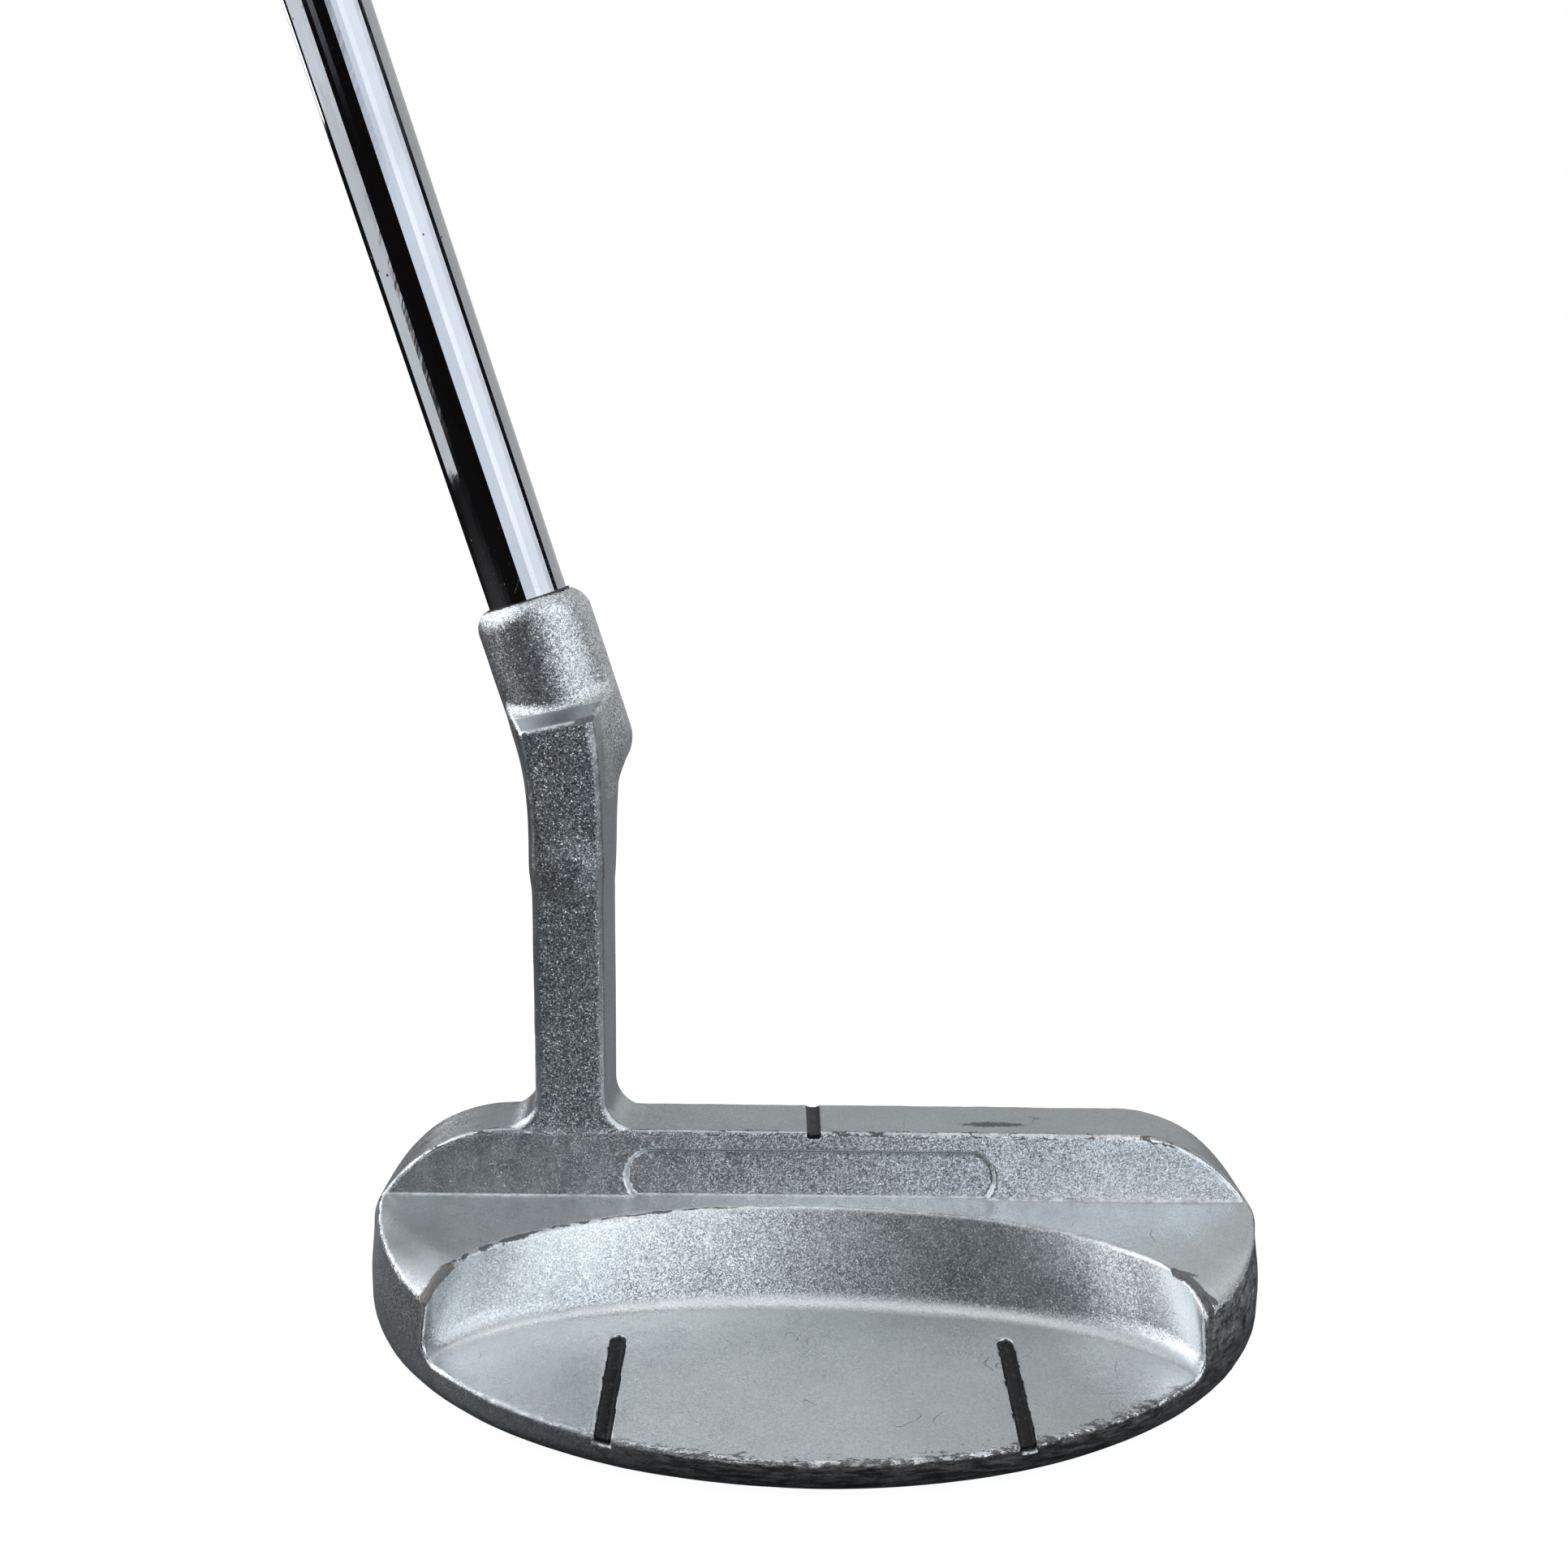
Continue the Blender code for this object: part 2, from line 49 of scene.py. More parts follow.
HALF_WIDTH, WIDEST_Y, BACK_DEPTH = 53.2, -8.0, 39.5
CORNER_RADIUS, RIM_RADIUS, LEADING_RADIUS = 7.0, 5.3, 2.5
TOP_Z, TOPLINE_REAR_Y = 22.9, -8.8
LOFT = math.radians(3.5)
SHOULDER_X, SHOULDER_RADIUS = 37.3, 17.9
CREASE_Y, SHELF_Z, STEP_LEAN = -10.9, 15.4, 0.28
MIDDLE_X = -0.7          # of the cavity, the recess and the two floor grooves
RECESS_HALF, RECESS_RADIUS, RECESS_DEPTH = 22.4, 3.3, 0.55
# The cavity wall's half sizes at its foot, and how much they change by the time it reaches the shelf.
WALL_FOOT, WALL_SPREAD = (42.6, 12.6), (-1.4, 7.5)
CAVITY_Y, FLOOR_Z, FLOOR_Y = -33.0, 6.6, -26.7
FLOOR_SLOPE = math.radians(3.6)
GROOVES_X = (MIDDLE_X - 21.425, MIDDLE_X + 21.425)
GROOVE_RADIUS, GROOVE_DEPTH = 0.85, 0.9
TOP_MARK_X, TOP_MARK_HALF, TOP_MARK_DEPTH = -0.3, 0.8, 0.8

LIE = math.radians(72.2)
AXIS = (-math.cos(LIE), 0.0, math.sin(LIE))
MOUTH = (-35.4, 2.8, 85.7)
BARREL_RADIUS, BARREL_LENGTH = 6.9, 21.5
BORE_RADIUS, BORE_DEPTH = 5.15, 18.0
THROAT_FOOT, THROAT_RADIUS = (-29.5, -4.4, 55.0), 4.5

PITCH = 0.34

LATTICE = np.random.default_rng(11).random((64, 64, 64)).astype(np.float32) * 2.0 - 1.0


# ---------------------------------------------------------------- fields

def noise(x, y, z, size):
    """Smooth noise from -1 to 1, with features of about the size given."""
    cells, shares = [], []
    for value in (x, y, z):
        scaled = value / size + 500.0
        cell = np.floor(scaled)
        part = scaled - cell
        cells.append(cell.astype(np.int64))
        shares.append(part * part * (3.0 - 2.0 * part))
    total = 0.0
    for corner in range(8):
        weight = 1.0
        index = []
        for axis in range(3):
            bit = corner >> axis & 1
            weight = weight * (shares[axis] if bit else 1.0 - shares[axis])
            index.append((cells[axis] + bit) % 64)
        total = total + weight * LATTICE[tuple(index)]
    return total


def hypot(a, b):
    return np.sqrt(a * a + b * b)


def ramp(value, low, high):
    share = np.clip((value - low) / (high - low), 0.0, 1.0)
    return share * share * (3.0 - 2.0 * share)


def join(a, b, radius):
    """Both solids, with a fillet of that radius where they meet."""
    inside = hypot(np.maximum(radius - a, 0.0), np.maximum(radius - b, 0.0))
    return np.maximum(radius, np.minimum(a, b)) - inside


def meet(a, b, radius):
    """What is in both solids, with its edge rounded to that radius."""
    return -join(-a, -b, radius)


def carve(a, b, radius):
    """The first solid less the second, with the cut's edge rounded to that radius."""
    return meet(a, -b, radius)


def ellipse(x, y, half_x, half_y):
    reach = np.maximum(hypot(x / half_x, y / half_y), 1e-4)
    slope = hypot(x / half_x ** 2, y / half_y ** 2) / reach
    return (reach - 1.0) / np.maximum(slope, 0.01)


def plan_field(x, y):
    return ellipse(x, np.minimum(y - WIDEST_Y, 0.0), HALF_WIDTH, BACK_DEPTH)


def floor_field(y, z):
    return (z - FLOOR_Z - (y - FLOOR_Y) * math.tan(FLOOR_SLOPE)) * math.cos(FLOOR_SLOPE)


def step_field(y, z):
    return (CREASE_Y + (z - SHELF_Z) * STEP_LEAN - y) / math.hypot(1.0, STEP_LEAN)


def recess_field(x, z):
    """Distance to the outline of the round-ended recess, along the step."""
    along = np.maximum(np.abs(x - MIDDLE_X) - (RECESS_HALF - RECESS_RADIUS), 0.0)
    up = (z - SHELF_Z) * 1.04 - RECESS_RADIUS + 0.9
    return hypot(along, up) - RECESS_RADIUS


def shoulder_field(x, z):
    """Distance to the flat top and the two round shoulders beside it."""
    beyond = np.maximum(np.abs(x) - SHOULDER_X, 0.0)
    above = np.maximum(z - TOP_Z + SHOULDER_RADIUS, 0.0)
    return hypot(beyond, above) - SHOULDER_RADIUS


def shelf_field(x, y, z):
    outside = np.maximum(0.7373 * (np.abs(x) - 52.5) - 0.6757 * (y - CREASE_Y), 0.0)
    return (z - SHELF_Z + 0.052 * outside ** 2) / hypot(1.0, 0.104 * outside)


def wall_field(x, y, z):
    """Distance to the cavity's wall, negative in the cavity. It leans outwards, and opens to the back."""
    foot_z = FLOOR_Z + (y - FLOOR_Y) * math.tan(FLOOR_SLOPE)
    rise = np.clip((z - foot_z) / (SHELF_Z - foot_z), 0.0, 1.4)
    turn = math.radians(-1.2) * (1.0 - rise)
    along, across = x - MIDDLE_X, y - CAVITY_Y
    u = along + across * turn
    v = np.maximum(across - along * turn, 0.0)
    half_x, half_y = (foot + spread * rise for foot, spread in zip(WALL_FOOT, WALL_SPREAD))
    distance = ellipse(u, v, half_x, half_y)
    lean = 0.85 * (v / half_y) / np.maximum(hypot(u / half_x, v / half_y), 1e-4)
    return distance / hypot(1.0, lean)


def groove_field(x, y, z, centre, shrink=0.0):
    start = FLOOR_Y - GROOVE_RADIUS
    side = hypot(x - centre, np.maximum(y - start, 0.0)) - GROOVE_RADIUS + shrink
    return np.maximum(side, -floor_field(y, z) - GROOVE_DEPTH)


def body_field(x, y, z, wear=0.0):
    plan = plan_field(x, y) + 0.8 * ramp(z, 8.0, 15.4) * ramp(-y, 9.5, 14.5) * ramp(y, -38.0, -22.0)
    face = y * math.cos(LOFT) + (z - TOP_Z) * math.sin(LOFT)
    solid = meet(plan, face, CORNER_RADIUS)
    sole_radius = RIM_RADIUS + (LEADING_RADIUS - RIM_RADIUS) * ramp(y, -10.0, -1.0)
    solid = meet(solid, -z, sole_radius)
    solid = meet(solid, shoulder_field(x, z), 0.7 + wear)
    recess = ramp(-recess_field(x, z), 0.0, 0.55)
    step = step_field(y, z) + RECESS_DEPTH * recess
    land = join(step, shelf_field(x, y, z), 0.3)
    solid = meet(solid, land, 0.38 + 0.2 * ramp(x, 5.0, 30.0) + wear)
    foot_radius = 1.15 + 1.2 * ramp(np.abs(x - MIDDLE_X), 24.0, 42.0)
    air = meet(wall_field(x, y, z), -floor_field(y, z), foot_radius)
    solid = carve(solid, air, 0.45 + wear)
    for centre in GROOVES_X:
        solid = carve(solid, groove_field(x, y, z, centre), 0.15)
    mark = np.maximum(np.abs(x - TOP_MARK_X) - TOP_MARK_HALF, TOP_Z - TOP_MARK_DEPTH - z)
    return carve(solid, mark, 0.15)


def along_axis(x, y, z):
    """Height above the barrel's mouth along the shaft's axis, and distance from that axis."""
    dx, dy, dz = x - MOUTH[0], y - MOUTH[1], z - MOUTH[2]
    height = dx * AXIS[0] + dz * AXIS[2]
    radius = np.sqrt(np.maximum(dx * dx + dy * dy + dz * dz - height * height, 1e-8))
    return height, radius


def throat_field(x, y, z):
    reach = BARREL_LENGTH - BARREL_RADIUS
    end = [m - a * reach for m, a in zip(MOUTH, AXIS)]
    span = [e - s for e, s in zip(end, THROAT_FOOT)]
    length = sum(s * s for s in span)
    offset = [x - THROAT_FOOT[0], y - THROAT_FOOT[1], z - THROAT_FOOT[2]]
    share = np.clip(sum(o * s for o, s in zip(offset, span)) / length, 0.0, 1.0)
    away = [o - share * s for o, s in zip(offset, span)]
    return np.sqrt(away[0] ** 2 + away[1] ** 2 + away[2] ** 2) - THROAT_RADIUS


def stem_field(x, y, z, wear=0.0):
    """The neck with its flared feet and its sloping ledge, and the barrel that it carries."""
    left = -33.75 - 1.15 * np.clip((z - 58.0) / 13.0, 0.0, 1.2) ** 2
    right = -25.4 - 1.2 * np.clip((z - 58.0) / 14.9, 0.0, 1.2) ** 2
    gain = np.clip((y - TOPLINE_REAR_Y) / 8.75, 0.0, 1.0) * (0.75 + 1.9 * ramp(z, 58.0, 72.0))
    sides = np.maximum(left - gain - x, x - right - gain)
    neck = join(sides, z - TOP_Z, 4.0)
    neck = np.maximum(neck, np.abs(x + 29.6) - 8.3)
    neck = meet(neck, TOPLINE_REAR_Y - y, 0.9 + wear)
    neck = meet(neck, y + 0.05, 1.6)
    deep = y - TOPLINE_REAR_Y
    ledge = (z - 72.0 - 0.232 * (x + 30.7) - 0.3 * deep) / 1.08
    neck = meet(neck, ledge, 0.5 + wear)
    neck = np.maximum(neck, 16.0 - z)
    height, radius = along_axis(x, y, z)
    toe_side = (x - MOUTH[0]) * AXIS[2] - (z - MOUTH[2]) * AXIS[0]
    barrel = meet(radius - BARREL_RADIUS, height, 2.7 + 0.5 * ramp(toe_side, 0.0, 6.0))
    barrel = meet(barrel, -BARREL_LENGTH - 1.7 - height, 4.8)
    throat = np.maximum(throat_field(x, y, z), TOPLINE_REAR_Y + 0.1 - y)
    return join(join(neck, throat, 2.0), barrel, 1.0 + 1.4 * ramp(x, -27.0, -23.0))


# Torn and knocked places in the casting: the points that each runs through, and its radius.
SCARS = (
    (((38.9, -27.4, 15.5), (40.4, -28.6, 15.2), (41.4, -30.2, 14.4), (41.8, -31.8, 12.9)), 0.42),
    (((41.8, -31.8, 12.9), (41.9, -32.4, 10.6), (42.2, -32.5, 8.2), (41.9, -33.2, 7.0)), 0.30),
    (((39.4, -27.5, 15.4), (41.4, -27.8, 15.4), (42.6, -27.1, 15.4)), 0.22),
    (((41.8, -30.2, 14.4), (43.3, -30.9, 13.6), (43.4, -32.3, 12.3)), 0.26),
    (((-43.0, -32.4, 12.9), (-42.0, -30.3, 14.5), (-40.6, -27.8, 15.3)), 0.30),
    (((42.4, -9.3, 22.5), (44.4, -9.4, 22.0)), 0.24), (((46.4, -9.4, 20.9), (48.2, -9.8, 19.7)), 0.18),
    (((-6.4, -9.3, 23.0), (-4.6, -9.3, 22.9)), 0.22), (((3.6, -9.3, 23.0), (5.0, -9.3, 22.9)), 0.22),
    (((-28.0, -8.7, 72.5), (-26.4, -8.4, 73.0), (-25.6, -7.4, 73.9)), 0.2),
    (((-34.3, -9.0, 70.9), (-34.2, -9.0, 70.5)), 0.2),
)


def scar_field(x, y, z, line, radius):
    """Distance to a tube of that radius round the line."""
    nearest = None
    for (ax, ay, az), (bx, by, bz) in zip(line, line[1:]):
        dx, dy, dz = bx - ax, by - ay, bz - az
        share = ((x - ax) * dx + (y - ay) * dy + (z - az) * dz) / (dx * dx + dy * dy + dz * dz)
        share = np.clip(share, 0.0, 1.0)
        away = (x - ax - share * dx) ** 2 + (y - ay - share * dy) ** 2 + (z - az - share * dz) ** 2
        nearest = away if nearest is None else np.minimum(nearest, away)
    return np.sqrt(nearest) - radius


def head_field(x, y, z, fine=False):
    wear, rough = 0.0, 0.0
    if fine:
        wear = 0.12 * noise(x, y, z, 2.6) + 0.08 * noise(x, y, z, 0.9)
        rough = 0.035 * noise(x, y, z, 5.0) + 0.012 * noise(x, y, z, 1.7)
        rim = ramp(plan_field(x, y), -1.6, -0.2) * ramp(-z, -9.0, -5.0) * ramp(-y, 10.0, 30.0)
        rough = rough + 0.05 * rim * noise(x, y, z, 1.1)
    solid = body_field(x, y, z, wear)
    solid = np.minimum(solid, stem_field(x, y, z, wear))
    height, radius = along_axis(x, y, z)
    solid = carve(solid, np.maximum(radius - BORE_RADIUS, -BORE_DEPTH - height), 0.3)
    jagged = 0.26 * noise(x, y, z, 0.8) + 0.1 * noise(x, y, z, 0.45) if fine else 0.0
    for line, radius in SCARS:
        levels = [point[2] for point in line]
        if np.min(z) > max(levels) + 1.5 or np.max(z) < min(levels) - 1.5:
            continue
        solid = carve(solid, scar_field(x, y, z, line, radius) + jagged, 0.1)
    return solid + rough


def paint_field(x, y, z, fine=False):
    """Enamel in the grooves, a little below the metal and hollowed where it dried."""
    paint = None
    for centre in GROOVES_X:
        off = (x - centre) / GROOVE_RADIUS
        top = floor_field(y, z) + 0.42 - 0.36 * np.minimum(off * off, 1.2) ** 2
        strip = np.maximum(groove_field(x, y, z, centre, -0.04), top)
        paint = strip if paint is None else np.minimum(paint, strip)
    return np.maximum(np.maximum(paint, plan_field(x, y) + 0.45), -0.8 - z + FLOOR_Z - 1.6)


def mark_field(x, y, z, fine=False):
    off = (x - TOP_MARK_X) / TOP_MARK_HALF
    side = np.abs(x - TOP_MARK_X) - TOP_MARK_HALF - 0.04
    top = z - TOP_Z + 0.36 - 0.3 * np.minimum(off * off, 1.2) ** 2
    strip = np.maximum(np.maximum(side, top), TOP_Z - TOP_MARK_DEPTH - 0.05 - z)
    ends = np.maximum(y + 0.25, step_field(y, z) + 0.12)
    return meet(strip, ends, 0.1)


def slope_of(field, points, reach, fine):
    x, y, z = points.T
    parts = []
    for axis in range(3):
        shift = [reach if axis == k else 0.0 for k in range(3)]
        more = field(x + shift[0], y + shift[1], z + shift[2], fine)
        less = field(x - shift[0], y - shift[1], z - shift[2], fine)
        parts.append((more - less) / (2.0 * reach))
    return np.stack(parts, 1)


def surface(field, low, high, pitch):
    """The field's zero surface as points, quads facing out, and normals.

    The field is asked for its fine detail only once its plain surface has been found.
    """
    axes = [np.arange(a, b + pitch, pitch, dtype=np.float32) for a, b in zip(low, high)]
    values = np.empty([len(axis) for axis in axes], np.float32)
    for start in range(0, len(axes[2]), 16):
        layers = axes[2][None, None, start:start + 16]
        values[:, :, start:start + 16] = field(axes[0][:, None, None], axes[1][None, :, None], layers)
    grid = openvdb.FloatGrid(3.0 * pitch)
    grid.copyFromArray(np.clip(values, -3.0 * pitch, 3.0 * pitch))
    points, quads = grid.convertToQuads(isovalue=0.0)
    points = points.astype(float) * pitch + np.array(low)
    for fine in (False, True, True):
        slope = slope_of(field, points, 0.05, False)
        steepness = np.maximum((slope ** 2).sum(1, keepdims=True), 0.05)
        here = field(*points.T, fine)[:, None]
        points = points - np.clip(here, -pitch, pitch) * slope / steepness
    slope = slope_of(field, points, 0.06, True)
    normals = slope / np.maximum(np.linalg.norm(slope, axis=1, keepdims=True), 1e-9)
    a, b, c = (points[quads[:, k]] for k in (0, 1, 2))
    facing = (np.cross(b - a, c - a) * normals[quads[:, 0]]).sum(1)
    if facing.sum() < 0.0:
        quads = quads[:, ::-1]
    return points, quads, normals


def mesh_object(name, points, quads, normals, finish):
    mesh = bpy.data.meshes.new(name)
    place = (points + np.array((0.0, FACE_Y, 0.0))) * MM
    mesh.vertices.add(len(place))
    mesh.vertices.foreach_set("co", place.astype(np.float32).ravel())
    mesh.loops.add(quads.size)
    mesh.loops.foreach_set("vertex_index", quads.astype(np.int32).ravel())
    mesh.polygons.add(len(quads))
    mesh.polygons.foreach_set("loop_start", np.arange(0, quads.size, quads.shape[1], dtype=np.int32))
    mesh.update(calc_edges=True)
    mesh.shade_smooth()
    if normals is not None:
        mesh.normals_split_custom_set_from_vertices(normals.astype(np.float32))
    mesh.materials.append(finish)
    made = bpy.data.objects.new(name, mesh)
    bpy.context.scene.collection.objects.link(made)
    return made


def set_mask(piece, name, values):
    attribute = piece.data.attributes.new(name, "FLOAT", "POINT")
    attribute.data.foreach_set("value", np.clip(values, 0.0, 1.0).astype(np.float32))


# ---------------------------------------------------------------- finishes

class Finish:
    """A material and short names for the nodes that the finishes are made of."""

    def __init__(self, name, **values):
        self.material = bpy.data.materials.new(name)
        self.material.use_nodes = True
        self.tree = self.material.node_tree
        self.shader = self.tree.nodes["Principled BSDF"]
        self.place = self.node("TexCoord").outputs["Object"]
        self.mm = self.vector("SCALE", self.place, scale=1000.0)
        for key, value in values.items():
            self.set(key.replace("_", " "), value)

    def node(self, kind, inputs=None, **settings):
        made = self.tree.nodes.new("ShaderNode" + kind)
        for key, value in settings.items():
            setattr(made, key, value)
        for key, value in (inputs or {}).items():
            self.plug(made.inputs[key], value)
        return made

    def plug(self, socket, value):
        if isinstance(value, bpy.types.NodeSocket):
            self.tree.links.new(value, socket)
        elif socket.type == "RGBA":
            colour = value if hasattr(value, "__len__") else (value, value, value)
            socket.default_value = (*colour, 1.0)
        elif socket.type == "VECTOR" and not hasattr(value, "__len__"):
            socket.default_value = (value, value, value)
        else:
            socket.default_value = value

    def set(self, name, value):
        self.plug(self.shader.inputs[name], value)

    def math(self, kind, a, b=0.0, c=0.0, clamp=False):
        return self.node("Math", {0: a, 1: b, 2: c}, operation=kind, use_clamp=clamp).outputs[0]

    def product(self, first, *others):
        for other in others:
            first = self.math("MULTIPLY", first, other)
        return first

    def vector(self, kind, a, b=0.0, scale=1.0):
        inputs = {0: a, 3: scale} if kind == "SCALE" else {0: a, 1: b}
        made = self.node("VectorMath", inputs, operation=kind)
        return made.outputs["Value" if kind in ("LENGTH", "DOT_PRODUCT") else "Vector"]

    def noise(self, scale, detail=2.0, rough=0.5, place=None, distortion=0.0):
        return self.node("TexNoise", {
            "Vector": place or self.mm, "Scale": scale, "Detail": detail, "Roughness": rough,
            "Distortion": distortion,
        }).outputs["Fac"]

    def cells(self, scale, place=None, output="Color"):
        return self.node("TexVoronoi", {"Vector": place or self.mm, "Scale": scale}).outputs[output]

    def ramp(self, value, low, high, start=0.0, end=1.0, smooth=True):
        kind = "SMOOTHSTEP" if smooth else "LINEAR"
        return self.node("MapRange", {
            "Value": value, "From Min": low, "From Max": high, "To Min": start, "To Max": end,
        }, interpolation_type=kind).outputs["Result"]

    def mix(self, share, a, b):
        made = self.node("Mix", data_type="RGBA")
        for index, value in ((0, share), (6, a), (7, b)):
            self.plug(made.inputs[index], value)
        return made.outputs[2]

    def scale_colour(self, colour, amount):
        made = self.node("Mix", data_type="RGBA", blend_type="MULTIPLY")
        grey = self.node("CombineColor", {0: amount, 1: amount, 2: amount}).outputs[0]
        for index, value in ((0, 1.0), (6, colour), (7, grey)):
            self.plug(made.inputs[index], value)
        return made.outputs[2]

    def mask(self, name):
        return self.node("Attribute", attribute_name=name, attribute_type="GEOMETRY").outputs["Fac"]

    def bump(self, height, distance, strength=1.0, normal=None):
        inputs = {"Height": height, "Distance": distance, "Strength": strength}
        if normal is not None:
            inputs["Normal"] = normal
        return self.node("Bump", inputs).outputs["Normal"]

    def stretched(self, scale, rotation=(0.0, 0.0, 0.0)):
        turned = self.node("Mapping", {"Vector": self.mm, "Rotation": rotation})
        return self.node("Mapping", {"Vector": turned.outputs[0], "Scale": scale}).outputs[0]


def cavity_hairline(f):
    """The thin broken line of chipped paint along the heel half of the cavity's upper edge."""
    parts = f.node("SeparateXYZ", {0: f.mm}).outputs
    half_x, half_y = (foot + spread for foot, spread in zip(WALL_FOOT, WALL_SPREAD))
    u = f.math("DIVIDE", f.math("SUBTRACT", parts[0], MIDDLE_X), half_x)
    v = f.math("DIVIDE", f.math("SUBTRACT", parts[1], CAVITY_Y + FACE_Y), half_y)
    reach = f.math("SQRT", f.math("ADD", f.math("MULTIPLY", u, u), f.math("MULTIPLY", v, v)))
    away = f.math("MULTIPLY", f.math("SUBTRACT", reach, 1.0), 22.0)
    wander = f.ramp(f.noise(0.7, 4.0, 0.7), 0.3, 0.7, -0.12, 0.12, False)
    offset = f.math("ABSOLUTE", f.math("SUBTRACT", away, f.math("ADD", wander, 0.16)))
    width = f.ramp(f.noise(0.45, 4.0, 0.7), 0.36, 0.6, 0.0, 0.22, False)
    line = f.ramp(f.math("SUBTRACT", width, offset), 0.0, 0.06)
    upper = f.ramp(parts[2], 14.6, 15.2)
    below = f.ramp(parts[2], 15.6, 16.0, 1.0, 0.0)
    heel = f.ramp(parts[0], -14.0, -6.0, 1.0, 0.35)
    ahead = f.ramp(parts[1], FACE_Y - 34.0, FACE_Y - 31.0)
    return f.product(line, upper, below, heel, ahead)


# A full painted-shading mask, the painted light and shade on the paint's colour, stands for this factor. A
# distance mask is 1 on its line, and 0 this many mm away from it.
FULL_PAINTED_SHADING = 2.0
SPANS = {"lip": 3.0, "brink": 4.0, "crease": 2.0, "outline": 2.0}


def encoded(name, distance):
    return 1.0 - distance / SPANS[name]


def decoded(f, name):
    """The distance in mm that a mask holds, from 0 at its line to its span."""
    return f.math("MULTIPLY", f.math("SUBTRACT", 1.0, f.mask(name)), SPANS[name])


def torn_brink(f):
    """Dark torn paint along the rear edge of the cavity's floor, ragged towards the floor."""
    away = decoded(f, "brink")
    parts = f.node("SeparateXYZ", {0: f.mm}).outputs
    reach = f.ramp(f.noise(1.0, 6.0, 0.78, f.stretched((0.45, 1.1, 1.1))), 0.36, 0.66, -0.7, 2.1, False)
    share = f.ramp(f.math("SUBTRACT", reach, away), 0.0, 0.25)
    span = f.ramp(parts[0], -34.0, -14.0, 0.25, 1.0)
    broken = f.ramp(f.noise(1.0, 6.0, 0.78, f.stretched((1.1, 3.0, 3.0))), 0.43, 0.52)
    return f.product(share, span, broken)


def worn_streaks(f):
    """Bare metal in short streaks along the rear edge and along the step's upper edge."""
    parts = f.node("SeparateXYZ", {0: f.mm}).outputs
    brink = decoded(f, "brink")
    run = f.ramp(f.noise(0.28, 3.0, 0.6), 0.47, 0.56)
    jitter = f.math("MULTIPLY", f.noise(1.2, 4.0, 0.7), 0.5)
    streak = f.ramp(f.math("ADD", brink, jitter), 0.62, 0.8, 1.0, 0.0)
    streak = f.product(streak, run, f.ramp(parts[0], -22.0, -8.0))
    lip = decoded(f, "lip")
    line = f.ramp(f.math("ADD", lip, jitter), 0.5, 0.7, 1.0, 0.0)
    line = f.product(line, run, f.ramp(parts[0], -8.0, 34.0, 0.5, 1.0))
    return f.math("MAXIMUM", streak, line)


def lip_crack(f):
    """A thin dark crack in the paint on top of the step's upper edge, in pieces."""
    parts = f.node("SeparateXYZ", {0: f.mm}).outputs
    away = decoded(f, "lip")
    wander = f.ramp(f.noise(0.5, 4.0, 0.7), 0.3, 0.7, 0.1, 0.75, False)
    offset = f.math("ABSOLUTE", f.math("SUBTRACT", away, wander))
    width = f.ramp(f.noise(0.33, 4.0, 0.7), 0.44, 0.6, 0.0, 0.17, False)
    line = f.ramp(f.math("SUBTRACT", width, offset), 0.0, 0.06)
    return f.math("MULTIPLY", line, f.ramp(parts[2], 19.0, 21.0, 0.4, 1.0))


def painted_highlight_lines(f):
    """Painted highlights: the bright line in the step's foot and the one round the top of its recess."""
    crease = f.ramp(decoded(f, "crease"), 0.16, 0.3, 1.0, 0.0)
    crease = f.math("MULTIPLY", crease, f.ramp(f.noise(0.8, 3.0, 0.6), 0.3, 0.6, 0.3, 0.8))
    outline = f.ramp(decoded(f, "outline"), 0.07, 0.17, 1.0, 0.0)
    outline = f.math("MULTIPLY", outline, f.ramp(f.noise(0.5, 3.0, 0.6), 0.35, 0.55, 0.2, 0.7))
    return f.math("MAXIMUM", crease, outline)


def hair_scratches(f):
    """Sparse thin curved scratches, where a slow noise crosses its middle inside a few patches."""
    curve = f.math("ABSOLUTE", f.math("SUBTRACT", f.noise(0.22, 1.0, 0.4), 0.5))
    patch = f.ramp(f.noise(0.16, 2.0, 0.5, f.vector("ADD", f.mm, (31.0, 7.0, 3.0))), 0.58, 0.64)
    return f.math("MULTIPLY", f.ramp(curve, 0.0022, 0.0045, 1.0, 0.0), patch)


